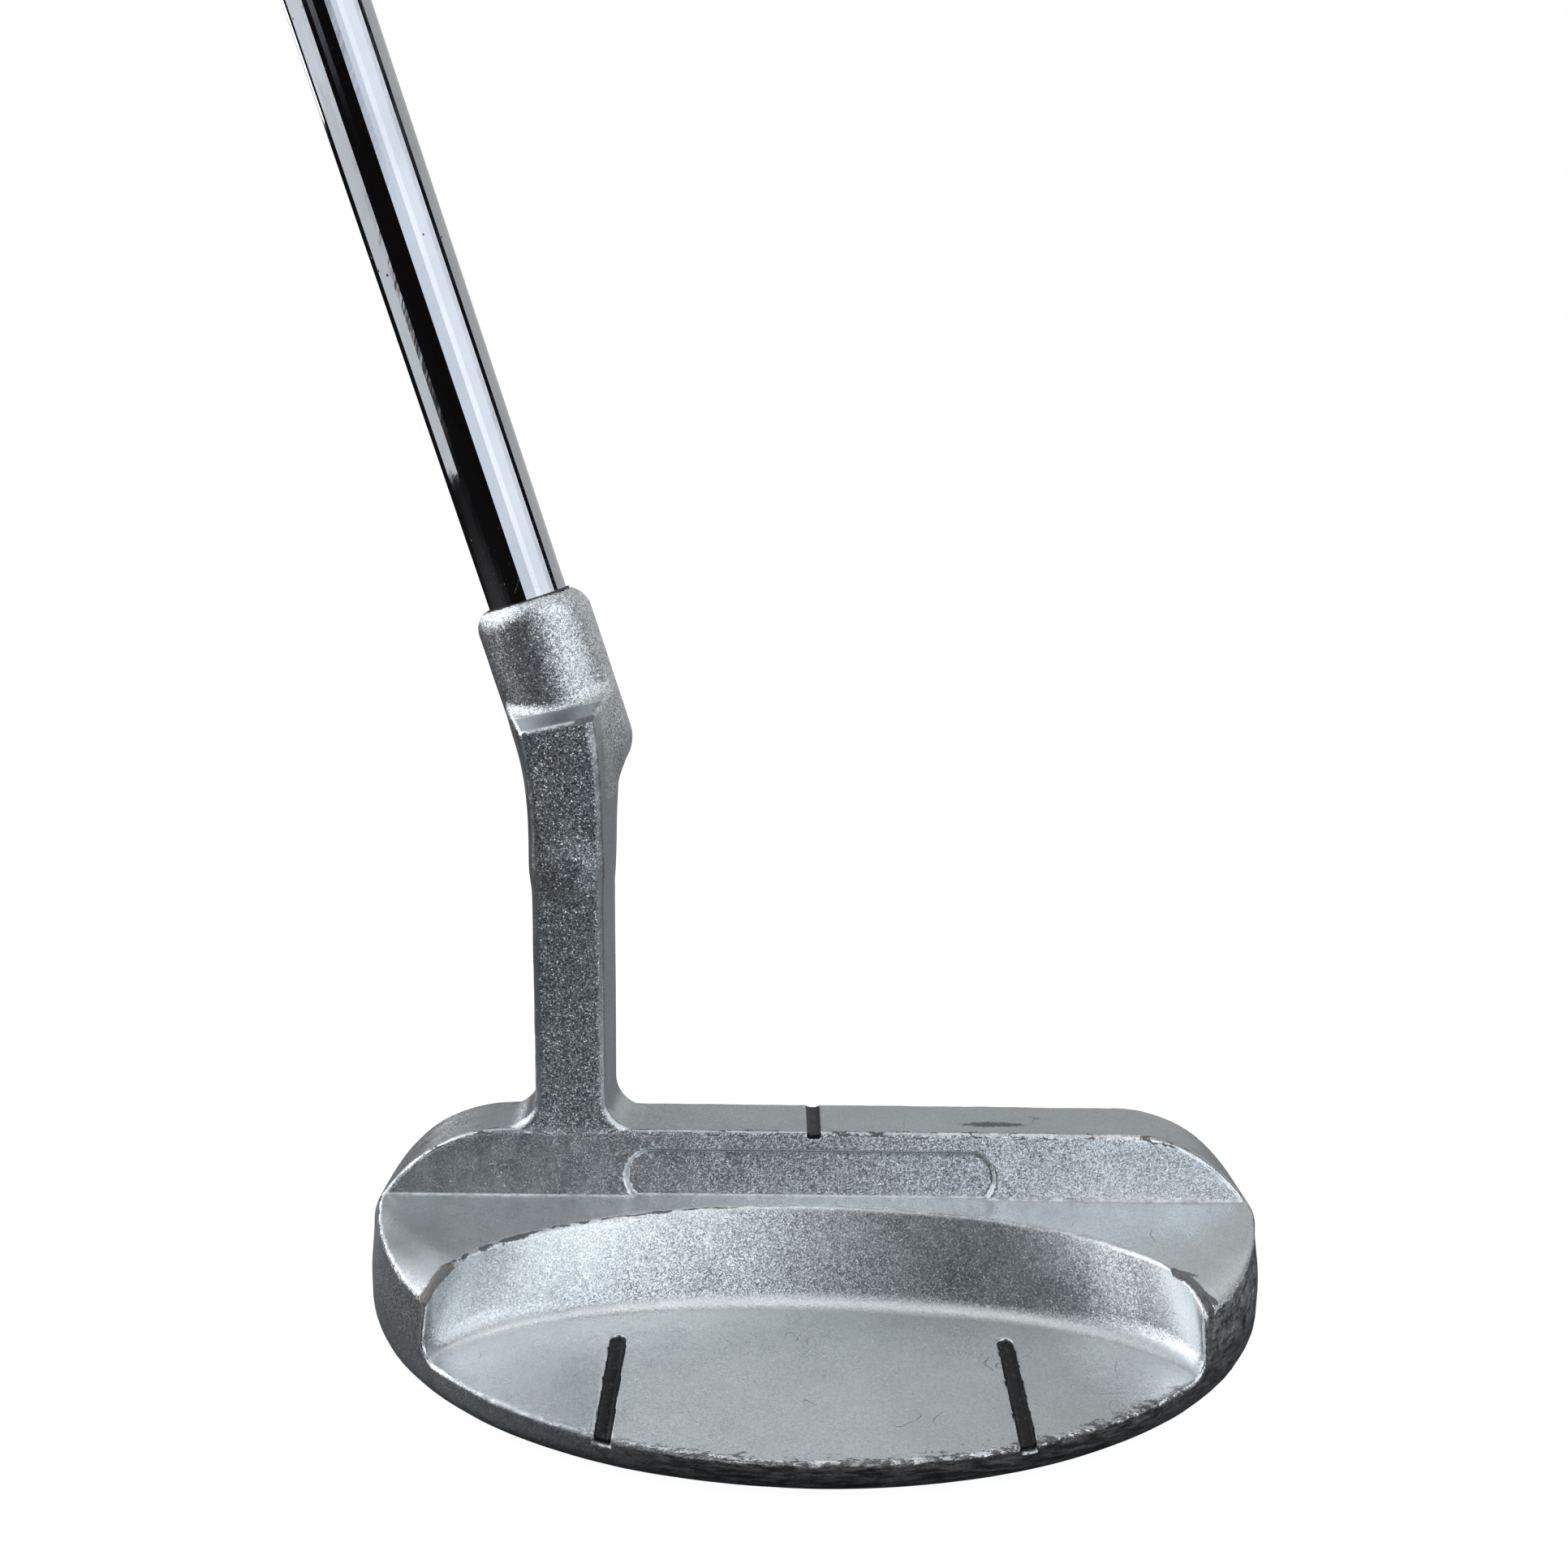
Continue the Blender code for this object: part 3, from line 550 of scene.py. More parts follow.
def silver_paint():
    """Cast zinc under metallic silver paint, with worn edges, a scuffed rim and a few rusty knocks. Its
    colour also holds painted light and shade part by part, painted shade on the rim and its underside, and
    painted highlight lines.
    """
    f = Finish("silver_paint")
    # Painted light and shade: this factor makes the paint's colour lighter or darker part by part.
    painted_shading = f.math("MULTIPLY", f.mask("painted_shading"), FULL_PAINTED_SHADING)
    grain = f.mask("grain")
    edge = f.mask("edge")
    rim = f.mask("rim")
    dark_in_corners = f.mask("dark_in_corners")
    knock = f.mask("knock")

    flakes = f.cells(8.0)
    coarse = f.cells(6.5)
    flake_value = f.node("SeparateColor", {0: flakes}).outputs[0]
    coarse_value = f.node("SeparateColor", {0: coarse}).outputs[1]
    blotch = f.noise(0.16, 3.0, 0.6)
    light = f.ramp(flake_value, 0.0, 1.0, 0.86, 1.12, False)
    light = f.math("MULTIPLY", light, f.ramp(blotch, 0.3, 0.7, 0.95, 1.05, False))
    grainy = f.ramp(coarse_value, 0.1, 0.95, 0.4, 1.75, False)
    light = f.math("MULTIPLY", light, f.node("Mix", {0: grain, 2: 1.0, 3: grainy}).outputs[0])
    paint = f.scale_colour((0.60, 0.625, 0.63), f.math("MULTIPLY", light, painted_shading))

    edge_noise = f.noise(0.9, 5.0, 0.65)
    fine_noise = f.noise(3.0, 3.0, 0.6)
    worn = f.ramp(f.math("ADD", edge, f.math("MULTIPLY", edge_noise, 0.9)), 1.18, 1.36)
    bare = f.mix(fine_noise, (0.62, 0.61, 0.60), (0.86, 0.86, 0.87))

    scuffs = f.noise(1.0, 6.0, 0.7, f.stretched((0.35, 0.35, 1.8)))
    scuff_share = f.ramp(scuffs, 0.42, 0.62)
    dark = f.mix(scuff_share, (0.09, 0.088, 0.086), (0.36, 0.365, 0.37))
    speck = f.ramp(f.noise(2.2, 4.0, 0.7), 0.6, 0.7)
    dark = f.mix(f.math("MULTIPLY", speck, 0.6), dark, (0.5, 0.5, 0.51))
    # The rim's dark colour: real scuffs, and painted shade over the skirt and on faces that look down.
    rim_scuffs_and_shade = f.ramp(f.math("ADD", rim, f.math("MULTIPLY", f.noise(0.7, 5.0, 0.7), 0.7)), 0.72, 1.05)

    rust_noise = f.noise(2.5, 4.0, 0.65)
    rust = f.mix(rust_noise, (0.035, 0.022, 0.018), (0.20, 0.13, 0.10))
    broken = f.mix(f.noise(3.5, 4.0, 0.7), (0.05, 0.05, 0.052), (0.32, 0.32, 0.33))
    knock_share = f.ramp(f.math("ADD", knock, f.math("MULTIPLY", f.noise(1.8, 4.0, 0.7), 1.4)), 1.2, 1.35)
    stain_share = f.ramp(f.math("ADD", f.mask("stain"), f.math("MULTIPLY", rust_noise, 1.0)), 0.95, 1.2)
    nick_noise = f.noise(1.5, 6.0, 0.75)
    nick_share = f.ramp(f.math("ADD", f.mask("nick"), f.math("MULTIPLY", nick_noise, 1.3)), 1.16, 1.34)
    hairs = f.math("MULTIPLY", hair_scratches(f), f.ramp(grain, 0.0, 0.15, 0.7, 0.0))
    for marks in (cavity_hairline(f), torn_brink(f), lip_crack(f), hairs):
        nick_share = f.math("MAXIMUM", nick_share, marks)
    # Darker, in patches, in the head's inside corners.
    dark_in_corners_patchy = f.math("MULTIPLY", dark_in_corners, f.ramp(f.noise(0.8, 4.0, 0.6), 0.35, 0.65))

    worn = f.math("MAXIMUM", worn, worn_streaks(f))
    painted_highlight = painted_highlight_lines(f)
    colour = f.mix(rim_scuffs_and_shade, paint, dark)
    colour = f.mix(worn, colour, bare)
    # Painted highlight: along the crease and recess lines the paint is made near-white.
    colour = f.mix(painted_highlight, colour, (0.9, 0.92, 0.93))
    colour = f.mix(f.math("MULTIPLY", dark_in_corners_patchy, 0.6), colour, (0.13, 0.12, 0.11))
    colour = f.mix(f.math("MULTIPLY", nick_share, 0.85), colour, (0.05, 0.046, 0.044))
    colour = f.mix(f.math("MULTIPLY", stain_share, 0.8), colour, rust)
    colour = f.mix(knock_share, colour, broken)
    knock_share = f.math("MAXIMUM", knock_share, f.math("MAXIMUM", stain_share, nick_share))
    f.set("Base Color", colour)
    metal = f.math("SUBTRACT", 0.9, f.math("MULTIPLY", knock_share, 0.6))
    f.set("Metallic", metal)
    rough = f.ramp(f.noise(0.35, 3.0, 0.6), 0.3, 0.7, 0.24, 0.32, False)
    rough = f.math("ADD", rough, f.math("MULTIPLY", grain, 0.08))
    rough = f.math("ADD", rough, f.math("MULTIPLY", rim_scuffs_and_shade, f.ramp(scuffs, 0.3, 0.7, 0.02, 0.2)))
    rough = f.math("SUBTRACT", rough, f.math("MULTIPLY", worn, 0.14))
    rough = f.math("ADD", rough, f.math("MULTIPLY", knock_share, 0.2), clamp=True)
    f.set("Roughness", rough)

    skin = f.math("ADD", f.noise(1.1, 3.0, 0.55), f.math("MULTIPLY", f.noise(4.5, 2.0, 0.5), grain))
    normal = f.bump(skin, 0.00004, 0.5)
    pits = f.math("MULTIPLY", scuffs, rim_scuffs_and_shade)
    normal = f.bump(pits, 0.00016, 0.7, normal)
    chipped = f.math("ADD", f.math("MULTIPLY", worn, 0.5), knock_share)
    normal = f.bump(chipped, -0.00006, 0.6, normal)
    tilt = f.vector("SUBTRACT", flakes, 0.5)
    strong = f.ramp(coarse_value, 0.72, 0.95, 0.0, 0.4)
    tilt_amount = f.math("ADD", 0.13, f.math("MULTIPLY", grain, f.math("ADD", 0.22, strong)))
    normal = f.vector("ADD", normal, f.vector("SCALE", tilt, scale=tilt_amount))
    # Painted highlight: along those lines the normal is turned up and back, to catch the ceiling's light.
    lit = f.node("Mix", {0: painted_highlight, 4: normal, 5: (0.0, -0.57, 0.82)}, data_type="VECTOR")
    normal = lit.outputs[1]
    f.set("Normal", f.vector("NORMALIZE", normal))
    return f.material


def black_enamel():
    f = Finish("black_enamel", Metallic=0.0, Specular_IOR_Level=0.2)
    dust = f.ramp(f.noise(1.6, 5.0, 0.7), 0.55, 0.72)
    colour = f.mix(f.noise(0.8, 2.0), (0.004, 0.005, 0.005), (0.012, 0.014, 0.014))
    f.set("Base Color", f.mix(f.math("MULTIPLY", dust, 0.35), colour, (0.16, 0.16, 0.15)))
    f.set("Roughness", f.ramp(f.noise(1.1, 4.0), 0.3, 0.7, 0.12, 0.32))
    f.set("Normal", f.bump(f.noise(1.3, 3.0), 0.00008, 0.5))
    return f.material


def shaft_chrome():
    """Polished chrome with lengthwise hairlines, small pits and faint smears."""
    f = Finish("chrome_plate", Metallic=1.0)
    along = (0.0, LIE - math.pi / 2.0, 0.0)
    hair_place = f.stretched((9.0, 9.0, 0.05), along)
    hair = f.ramp(f.noise(1.0, 3.0, 0.7, hair_place), 0.66, 0.74)
    patch = f.ramp(f.noise(0.035, 3.0, 0.6, f.stretched((1.0, 1.0, 0.5), along)), 0.5, 0.62)
    hair = f.math("MULTIPLY", hair, patch)
    smear = f.noise(0.12, 4.0, 0.6, f.stretched((1.0, 1.0, 0.3), along))
    pit = f.ramp(f.cells(0.45, output="Distance"), 0.05, 0.09, 1.0, 0.0)
    pit = f.math("MULTIPLY", pit, f.ramp(f.noise(0.08, 2.0), 0.55, 0.6))
    colour = f.mix(f.ramp(smear, 0.35, 0.75), (0.62, 0.64, 0.67), (0.54, 0.56, 0.59))
    colour = f.mix(pit, colour, (0.08, 0.05, 0.035))
    f.set("Base Color", f.mix(f.math("MULTIPLY", hair, 0.35), colour, (0.9, 0.91, 0.93)))
    rough = f.ramp(smear, 0.3, 0.75, 0.03, 0.10)
    rough = f.math("ADD", rough, f.math("MULTIPLY", hair, 0.3))
    f.set("Roughness", f.math("ADD", rough, f.math("MULTIPLY", pit, 0.4), clamp=True))
    relief = f.math("ADD", f.math("MULTIPLY", hair, -0.5), f.math("MULTIPLY", pit, -1.0))
    drawn = f.noise(1.0, 3.0, 0.6, f.stretched((0.5, 0.5, 0.09), along))
    f.set("Normal", f.bump(relief, 0.00003, 0.5, f.bump(drawn, 0.00002, 0.5)))
    return f.material


def cured_epoxy():
    f = Finish("cured_epoxy", Metallic=0.0)
    f.set("Base Color", f.mix(f.noise(0.9, 4.0), (0.02, 0.016, 0.014), (0.10, 0.085, 0.07)))
    f.set("Roughness", f.ramp(f.noise(1.5, 3.0), 0.3, 0.7, 0.3, 0.6))
    f.set("Normal", f.bump(f.noise(2.0, 3.0), 0.0001, 0.6))
    return f.material


def moulded(name, low, high, roughness, size, depth):
    """Plastic, rubber or paper: two tones of mottle with a fine skin."""
    f = Finish(name, Metallic=0.0)
    f.set("Base Color", f.mix(f.noise(0.4 * size, 5.0, 0.65), low, high))
    f.set("Roughness", f.ramp(f.noise(0.6 * size, 3.0), 0.3, 0.7, roughness - 0.08, roughness + 0.08))
    skin = f.math("ADD", f.noise(5.0 * size, 2.0), f.math("MULTIPLY", f.noise(0.9 * size, 3.0), 1.2))
    f.set("Normal", f.bump(skin, depth, 0.6))
    return f.material


def grip_rubber():
    f = Finish("grip_rubber", Metallic=0.0, Specular_IOR_Level=0.4, Sheen_Weight=0.12, Sheen_Roughness=0.4)
    groove = f.mask("groove")
    polish = f.ramp(f.noise(0.035, 4.0, 0.6), 0.38, 0.65)
    colour = f.mix(f.noise(0.5, 5.0, 0.7), (0.012, 0.012, 0.013), (0.026, 0.026, 0.027))
    dusty = f.math("MULTIPLY", groove, f.ramp(f.noise(0.2, 4.0), 0.3, 0.7))
    f.set("Base Color", f.mix(f.math("MULTIPLY", dusty, 0.5), colour, (0.09, 0.085, 0.08)))
    f.set("Roughness", f.math("SUBTRACT", f.ramp(f.noise(1.2, 3.0), 0.3, 0.7, 0.62, 0.78),
                              f.math("MULTIPLY", polish, 0.16)))
    f.set("Normal", f.bump(f.math("ADD", f.noise(6.0, 2.0), f.noise(2.0, 3.0)), 0.00008, 0.6))
    return f.material


def floor_paper():
    """Seamless white paper. To what reflects in the metal it is the darker floor of a studio."""
    f = Finish("floor_paper")
    fibre = f.noise(0.05, 5.0, 0.6)
    lit = f.node("BsdfDiffuse", {"Color": f.mix(fibre, (0.93, 0.93, 0.93), (0.95, 0.95, 0.95))})
    glow = f.node("Emission", {"Color": (1.0, 1.0, 1.0), "Strength": 1.12})
    seen = f.node("MixShader", {0: 0.86, 1: lit.outputs[0], 2: glow.outputs[0]})
    reach = f.vector("LENGTH", f.mm)
    near = f.ramp(reach, 240.0, 430.0, 1.0, 0.0)
    dim = f.node("BsdfDiffuse", {"Color": f.mix(near, (0.010, 0.009, 0.009), (0.052, 0.049, 0.048))})
    gloss = f.node("BsdfGlossy", {"Color": (0.62, 0.63, 0.64), "Roughness": 0.16})
    across, along, _ = f.node("SeparateXYZ", {0: f.mm}).outputs
    behind = f.math("MULTIPLY", f.ramp(along, 20.0, 80.0, 0.16, 0.6), f.ramp(across, -130.0, -60.0))
    table = f.node("MixShader", {0: behind, 1: dim.outputs[0], 2: gloss.outputs[0]})
    camera = f.node("LightPath").outputs["Is Camera Ray"]
    both = f.node("MixShader", {0: camera, 1: table.outputs[0], 2: seen.outputs[0]})
    output = f.tree.nodes["Material Output"]
    f.tree.links.new(both.outputs[0], output.inputs["Surface"])
    return f.material


# ---------------------------------------------------------------- pieces

def bend_of(x, y, z):
    """How sharply the head's surface bends: above 0 on its edges, below 0 in its corners."""
    reach = 0.45
    bend = -6.0 * head_field(x, y, z)
    for axis in range(3):
        for sign in (-reach, reach):
            shift = [sign if axis == k else 0.0 for k in range(3)]
            bend = bend + head_field(x + shift[0], y + shift[1], z + shift[2])
    return bend / reach ** 2


def head_zones(x, y, z, ny, nz):
    """Where each part of the head's surface is, from 0 to 1."""
    up = ramp(nz, 0.8, 0.95)
    outward = ramp(plan_field(x, y), -2.2, -0.7)
    ledge = (z > 70.5) * (z < 76.0) * ramp(nz, 0.8, 0.92) * ramp(-y, 4.4, 5.0)
    in_cavity = (wall_field(x, y, z) > -1.0) * (y < CREASE_Y - 2.0)
    return {
        "step": (z < TOP_Z + 0.3) * ramp(-ny, 0.7, 0.9) * ramp(z, 14.6, 15.6) * ramp(y, -12.0, -11.0),
        "neck": (z > TOP_Z - 0.5) * (z < 73.0) * ramp(-ny, 0.9, 0.99) * ramp(-y, 8.2, 8.6),
        "wall": ramp(z, 7.0, 8.0) * in_cavity * ramp(-ny, 0.2, 0.5),
        "outward": outward,
        "skirt": outward * ramp(-nz, -0.75, -0.25) * ramp(-y, 6.0, 14.0),
        "topline": up * (z > SHELF_Z + 2.0),
        "shelf": up * (z < SHELF_Z + 1.0) * (z > 12.0),
        "floor": up * (z < 8.5),
        "ledge": ledge,
        "barrel": (z > 63.0) * (y > -6.5) * (1.0 - ledge),
    }


def head_painted_shading(x, y, zone):
    """Painted light and shade: how much lighter or darker the paint's colour is made, part by part, for how
    light falls on it.
    """
    across = np.clip(x / 42.0, -1.0, 1.0)
    lean = ramp(-y, 13.0, 24.0) * ramp(-x, 38.0, 52.0)
    shelf_hump = np.exp(-(((x - 2.0) / 20.0) ** 2))
    on_wall = 1.15 * ramp(x, 27.0, 38.0) + 0.34 * ramp(-x, -3.0, 14.0) - 0.3 * ramp(-x, 24.0, 34.0)
    painted_shading = 1.0 - 0.4 * zone["skirt"] - 0.17 * zone["topline"] - 0.1 * zone["neck"] - 0.28 * zone["ledge"]
    painted_shading = painted_shading + zone["shelf"] * (0.05 + 0.42 * shelf_hump + 0.08 * across - 0.8 * lean)
    painted_shading = painted_shading + zone["floor"] * (0.2 - 0.38 * across)
    painted_shading = painted_shading + zone["step"] * (0.3 + 0.25 * ramp(-across, 0.0, 0.6))
    painted_shading = painted_shading + zone["wall"] * on_wall
    painted_shading = painted_shading + 0.22 * zone["barrel"]
    return painted_shading - 0.42 * zone["wall"] * np.exp(-(((x - 15.0) / 12.0) ** 2))


def head_edges(x, y, z, nz, outward, bend):
    """Where the paint has worn off the edges."""
    rear = ramp(-y, 33.0, 41.0)
    low = ramp(-z, -9.0, -6.0)
    rear_edge = outward * rear * low * ramp(nz, 0.3, 0.9)
    from_wall_edge = hypot(wall_field(x, y, z), shelf_field(x, y, z))
    wall_edge = (z > 9.0) * (y < CREASE_Y - 1.0) * ramp(-from_wall_edge, -0.8, -0.3)
    edge = ramp(bend, 0.35, 1.5) * (0.5 + 0.5 * ramp(np.abs(x), 20.0, 40.0))
    edge = edge * (1.0 - 0.75 * wall_edge * ramp(-np.abs(x), -40.5, -38.0))
    edge = edge * (1.0 - 0.5 * rear * low)
    edge = edge * (1.0 - 0.6 * (z > SHELF_Z + 0.5) * (z < TOP_Z + 0.3) * ramp(-x, 20.0, 30.0))
    return np.maximum(edge, rear_edge * (0.25 + 0.45 * ramp(-np.abs(x - 13.0), -26.0, -16.0)))


def head_masks(points, normals):
    """What the silver paint reads at each point of the head."""
    x, y, z = points.T
    ny, nz = normals.T[1:]
    bend = bend_of(x, y, z)
    zone = head_zones(x, y, z, ny, nz)
    skirt, step = zone["skirt"], zone["step"]
    grain = 0.22 * step + zone["neck"] + 0.32 * zone["wall"] + 0.8 * zone["barrel"] + 0.5 * skirt
    rear = ramp(-y, 33.0, 41.0)
    # Scuffs towards the rear and the toe end, on a base of painted shade over the whole skirt.
    rim = skirt * (0.3 + 0.5 * rear * ramp(x, -34.0, -5.0) + 0.3 * ramp(x, 34.0, 44.0))
    stain = np.zeros(len(x))
    knock = np.zeros(len(x))
    for line, radius in SCARS:
        near = -scar_field(x, y, z, line, radius)
        knock = np.maximum(knock, ramp(near, -0.75, 0.05))
        at_heel_corner = line[0][0] < -40.0
        if at_heel_corner:
            stain = ramp(near, -1.5, -0.1) * (z > 12.0)
    scuff = ramp(-hypot((x - 21.5) / 6.8, (y + 5.9) / 1.3), -1.0, -0.35) * (z > TOP_Z - 0.5)
    lip = np.maximum(-step_field(y, z), -shoulder_field(x, z))
    brink = np.maximum(-plan_field(x, y), -floor_field(y, z))
    # Distances to the lines where painted highlights are drawn.
    crease = hypot(y - CREASE_Y - RECESS_DEPTH * ramp(-recess_field(x, z), -0.2, 0.3), z - SHELF_Z)
    outline = np.abs(recess_field(x, z) + 0.1)
    return {
        # Painted light and shade on the paint, part by part.
        "painted_shading": head_painted_shading(x, y, zone) / FULL_PAINTED_SHADING,
        "lip": encoded("lip", lip) * (z > SHELF_Z + 0.6) * (z < TOP_Z + 0.4),
        "brink": encoded("brink", brink) * ramp(-y, 30.0, 36.0) * (z < 11.0),
        "crease": encoded("crease", crease) * (np.abs(x) < 54.0) * (nz > -0.2) * (np.abs(y) < 14.0),
        "outline": encoded("outline", outline) * step * ramp(z, 15.9, 16.6),
        "grain": grain,
        "edge": head_edges(x, y, z, nz, zone["outward"], bend),
        # Painted shade on every face that looks down, with the rim's scuffs.
        "rim": np.maximum(rim, ramp(-nz, 0.5, 0.9) * 0.55),
        # Darker where the surface bends inwards, in its corners.
        "dark_in_corners": ramp(-bend, 0.8, 2.5),
        "knock": knock,
        "nick": 0.8 * scuff,
        "stain": stain,
    }


def build_head():
    points, quads, normals = surface(head_field, (-54.5, -49.0, -1.0), (54.5, 11.5, 88.0), PITCH)
    head = mesh_object("painted_head", points, quads, normals, silver_paint())
    for name, values in head_masks(points, normals).items():
        set_mask(head, name, values)
    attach(head, "root")
    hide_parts("head_casting")


def build_paint():
    enamel = black_enamel()
    pitch = 0.16
    boxes = (
        ("floor_sight_paint", paint_field, (-23.5, -48.0, 3.0), (22.5, -26.0, 8.0),
         ("heel_sight_paint", "toe_sight_paint")),
        ("topline_paint", mark_field, (-2.0, -10.5, 21.5), (1.5, 0.5, 23.5), ("topline_sight_paint",)),
    )
    for name, field, low, high, nodes in boxes:
        piece = mesh_object(name, *surface(field, low, high, pitch), enamel)
        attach(piece, "root")
        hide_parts(*nodes)


def dress_nodes():
    plug = moulded("plug_plastic", (0.55, 0.52, 0.46), (0.66, 0.64, 0.58), 0.5, 1.0, 0.00005)
    finishes = {
        "shaft": shaft_chrome(),
        "hosel_epoxy": cured_epoxy(),
        "shaft_tip_plug": plug,
        "grip_tape": moulded("tape_paper", (0.62, 0.56, 0.44), (0.74, 0.69, 0.58), 0.8, 1.6, 0.00004),
        "grip_cap": moulded("cap_rubber", (0.014, 0.014, 0.015), (0.03, 0.03, 0.031), 0.62, 1.0, 0.00007),
    }
    for name, finish in finishes.items():
        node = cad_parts[name]
        for slot in node.material_slots:
            slot.link = "OBJECT"
            slot.material = finish


GRIP_LENGTH, CAP_THICKNESS, CLUB_LENGTH = 262.0, 4.0, 876.0
GRIP_BORE = 7.75


def grip_point(share, angle):
    """One point of the grip's skin about the shaft's axis: x towards the flat, y across."""
    ease = share * share * (3.0 - 2.0 * share)
    half = 9.9 + 2.7 * ease
    flat = 9.0 + 1.4 * ease
    under = 10.0 + 4.6 * ease
    bulge = 3.2 * np.exp(-(((share - 0.68) / 0.14) ** 2))
    across = half * np.sin(angle)
    over = half * 1.04 * np.cos(angle)
    soft = 0.6
    over_flat = -np.log(np.exp(-over / soft) + np.exp(-flat / soft)) * soft
    down = (under + bulge) * np.cos(angle)
    return np.where(np.cos(angle) > 0.0, np.minimum(over_flat, over), down), across


def build_grip():
    butt = CLUB_LENGTH - MOUTH[2] / math.sin(LIE)
    top = butt - CAP_THICKNESS - 0.3
    bottom = butt - GRIP_LENGTH
    rings, around = ((620, 128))
    share = np.linspace(0.0, 1.0, rings)[:, None]
    angle = np.linspace(0.0, math.tau, around, endpoint=False)[None, :]
    x, y = grip_point(share, angle)
    height = bottom + (top - bottom) * share + 0.0 * angle
    # Its pattern: shallow chevrons down the flat between two lines, and fine rings on the underside.
    length = height - bottom
    on_flat = ramp(np.cos(angle), 0.55, 0.72) * ramp(share, 0.05, 0.09) * ramp(-share, -0.96, -0.92)
    chevron = np.abs((length + np.abs(y) * 0.75) % 6.0 - 3.0)
    marks = ramp(-chevron, -0.75, -0.25) * ramp(-np.abs(y), -6.2, -5.6)
    lines = ramp(-np.abs(np.abs(y) - 7.4), -0.5, -0.15)
    flat_cut = on_flat * np.maximum(marks, lines)
    under = ramp(-np.cos(angle), 0.1, 0.3) * ramp(share, 0.06, 0.1) * ramp(-share, -0.97, -0.94)
    ring_cut = under * ramp(-np.abs(length % 4.0 - 2.0), -0.7, -0.25)
    collar = ramp(-np.abs(length - 6.0), -0.8, -0.3) + ramp(-np.abs(length - 9.0), -0.8, -0.3)
    groove = np.clip(flat_cut + ring_cut + collar, 0.0, 1.0)
    lip = 0.9 * ramp(-share, -0.012, 0.0)
    reach = np.sqrt(x * x + y * y)
    scale = 1.0 - (0.45 * groove + lip) / reach
    outer = np.stack([x * scale, y * scale, height], 2)
    inner_rings = []
    for level in (top, bottom):
        inner_rings.append(np.stack([GRIP_BORE * np.cos(angle[0]), GRIP_BORE * np.sin(angle[0]),
                                     np.full(around, level)], 1))
    grid = np.concatenate([outer, np.array(inner_rings)], 0)
    total = len(grid)
    ring, step = np.meshgrid(np.arange(total), np.arange(around), indexing="ij")
    after, beyond = (ring + 1) % total, (step + 1) % around
    quads = np.stack([ring * around + step, ring * around + beyond, after * around + beyond,
                      after * around + step], 2).reshape(-1, 4)
    turn = Matrix.Rotation(LIE - math.pi / 2.0, 3, "Y")
    points = grid.reshape(-1, 3) @ np.array(turn.transposed()) + np.array(MOUTH)
    grip = mesh_object("rubber_grip", points, quads, None, grip_rubber())
    set_mask(grip, "groove", np.concatenate([groove.ravel(), np.zeros(2 * around)]))
    grip.data.set_sharp_from_angle(angle=math.radians(50.0))
    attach(grip, "root")
    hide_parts("grip_sleeve")


# ---------------------------------------------------------------- studio

def build_floor():
    rings, around = 24, 96
    points = [(0.0, 0.0, 0.0)]
    for ring in range(1, rings + 1):
        radius = 6000.0 * (ring / rings) ** 2
        for step in range(around):
            turn = math.tau * step / around
            points.append((radius * math.cos(turn), radius * math.sin(turn), 0.0))
    mesh = bpy.data.meshes.new("studio_floor")
    faces = [(0, 1 + step, 1 + (step + 1) % around) for step in range(around)]
    for ring in range(rings - 1):
        low, high = 1 + ring * around, 1 + (ring + 1) * around
        for step in range(around):
            after = (step + 1) % around
            faces.append((low + step, high + step, high + after, low + after))
    mesh.from_pydata([(x * MM, y * MM, -0.0001) for x, y, _ in points], [], faces)
    mesh.materials.append(floor_paper())
    made = bpy.data.objects.new("studio_floor", mesh)
    bpy.context.scene.collection.objects.link(made)


def add_panel(name, centre, target, size, radiance, colour):
    light = bpy.data.lights.new(name, "AREA")
    light.shape = "RECTANGLE"
    light.size, light.size_y = size
    light.energy = radiance * math.pi * size[0] * size[1]
    light.color = colour
    made = bpy.data.objects.new(name, light)
    bpy.context.scene.collection.objects.link(made)
    made.location = centre
    made.rotation_euler = (Vector(target) - Vector(centre)).to_track_quat("-Z", "Y").to_euler()
    made.visible_camera = False


# The room by compass angle, from behind the club's face round past its heel, the camera and its toe.
BACK, DARK, KEY, SIDE = (0.54, 0.56, 0.58), (0.006, 0.005, 0.005), (1.42, 1.50, 1.60), (0.14, 0.15, 0.17)
DIM, MILD, PALE, SOFT = (0.34, 0.355, 0.37), (0.85, 0.88, 0.92), (1.0, 1.05, 1.12), (0.50, 0.515, 0.52)
KEY_START, KEY_END = (0.92, 0.99, 1.08), (1.15, 1.22, 1.30)
LOW_PANELS = (
    (-180.0, BACK), (-172.0, BACK), (-166.0, DARK), (-116.0, DARK), (-112.0, SIDE), (-66.0, SIDE),
    (-62.0, DARK), (6.0, DARK), (8.0, KEY_START), (28.0, KEY_START), (40.0, KEY), (52.0, KEY_END),
    (91.0, KEY_END), (93.0, DARK), (106.0, DARK), (110.0, SOFT), (180.0, BACK),
)
HIGH_PANELS = (
    (-180.0, BACK), (-168.0, DIM), (-158.0, DIM), (-148.0, MILD), (-122.0, MILD), (-114.0, PALE),
    (-54.0, PALE), (-26.0, DARK), (4.0, DARK), (8.0, KEY_START), (28.0, KEY_START), (40.0, KEY),
    (52.0, KEY_END), (88.0, KEY_END), (91.0, DARK), (106.0, DARK), (110.0, SOFT), (160.0, SOFT),
    (180.0, BACK),
)


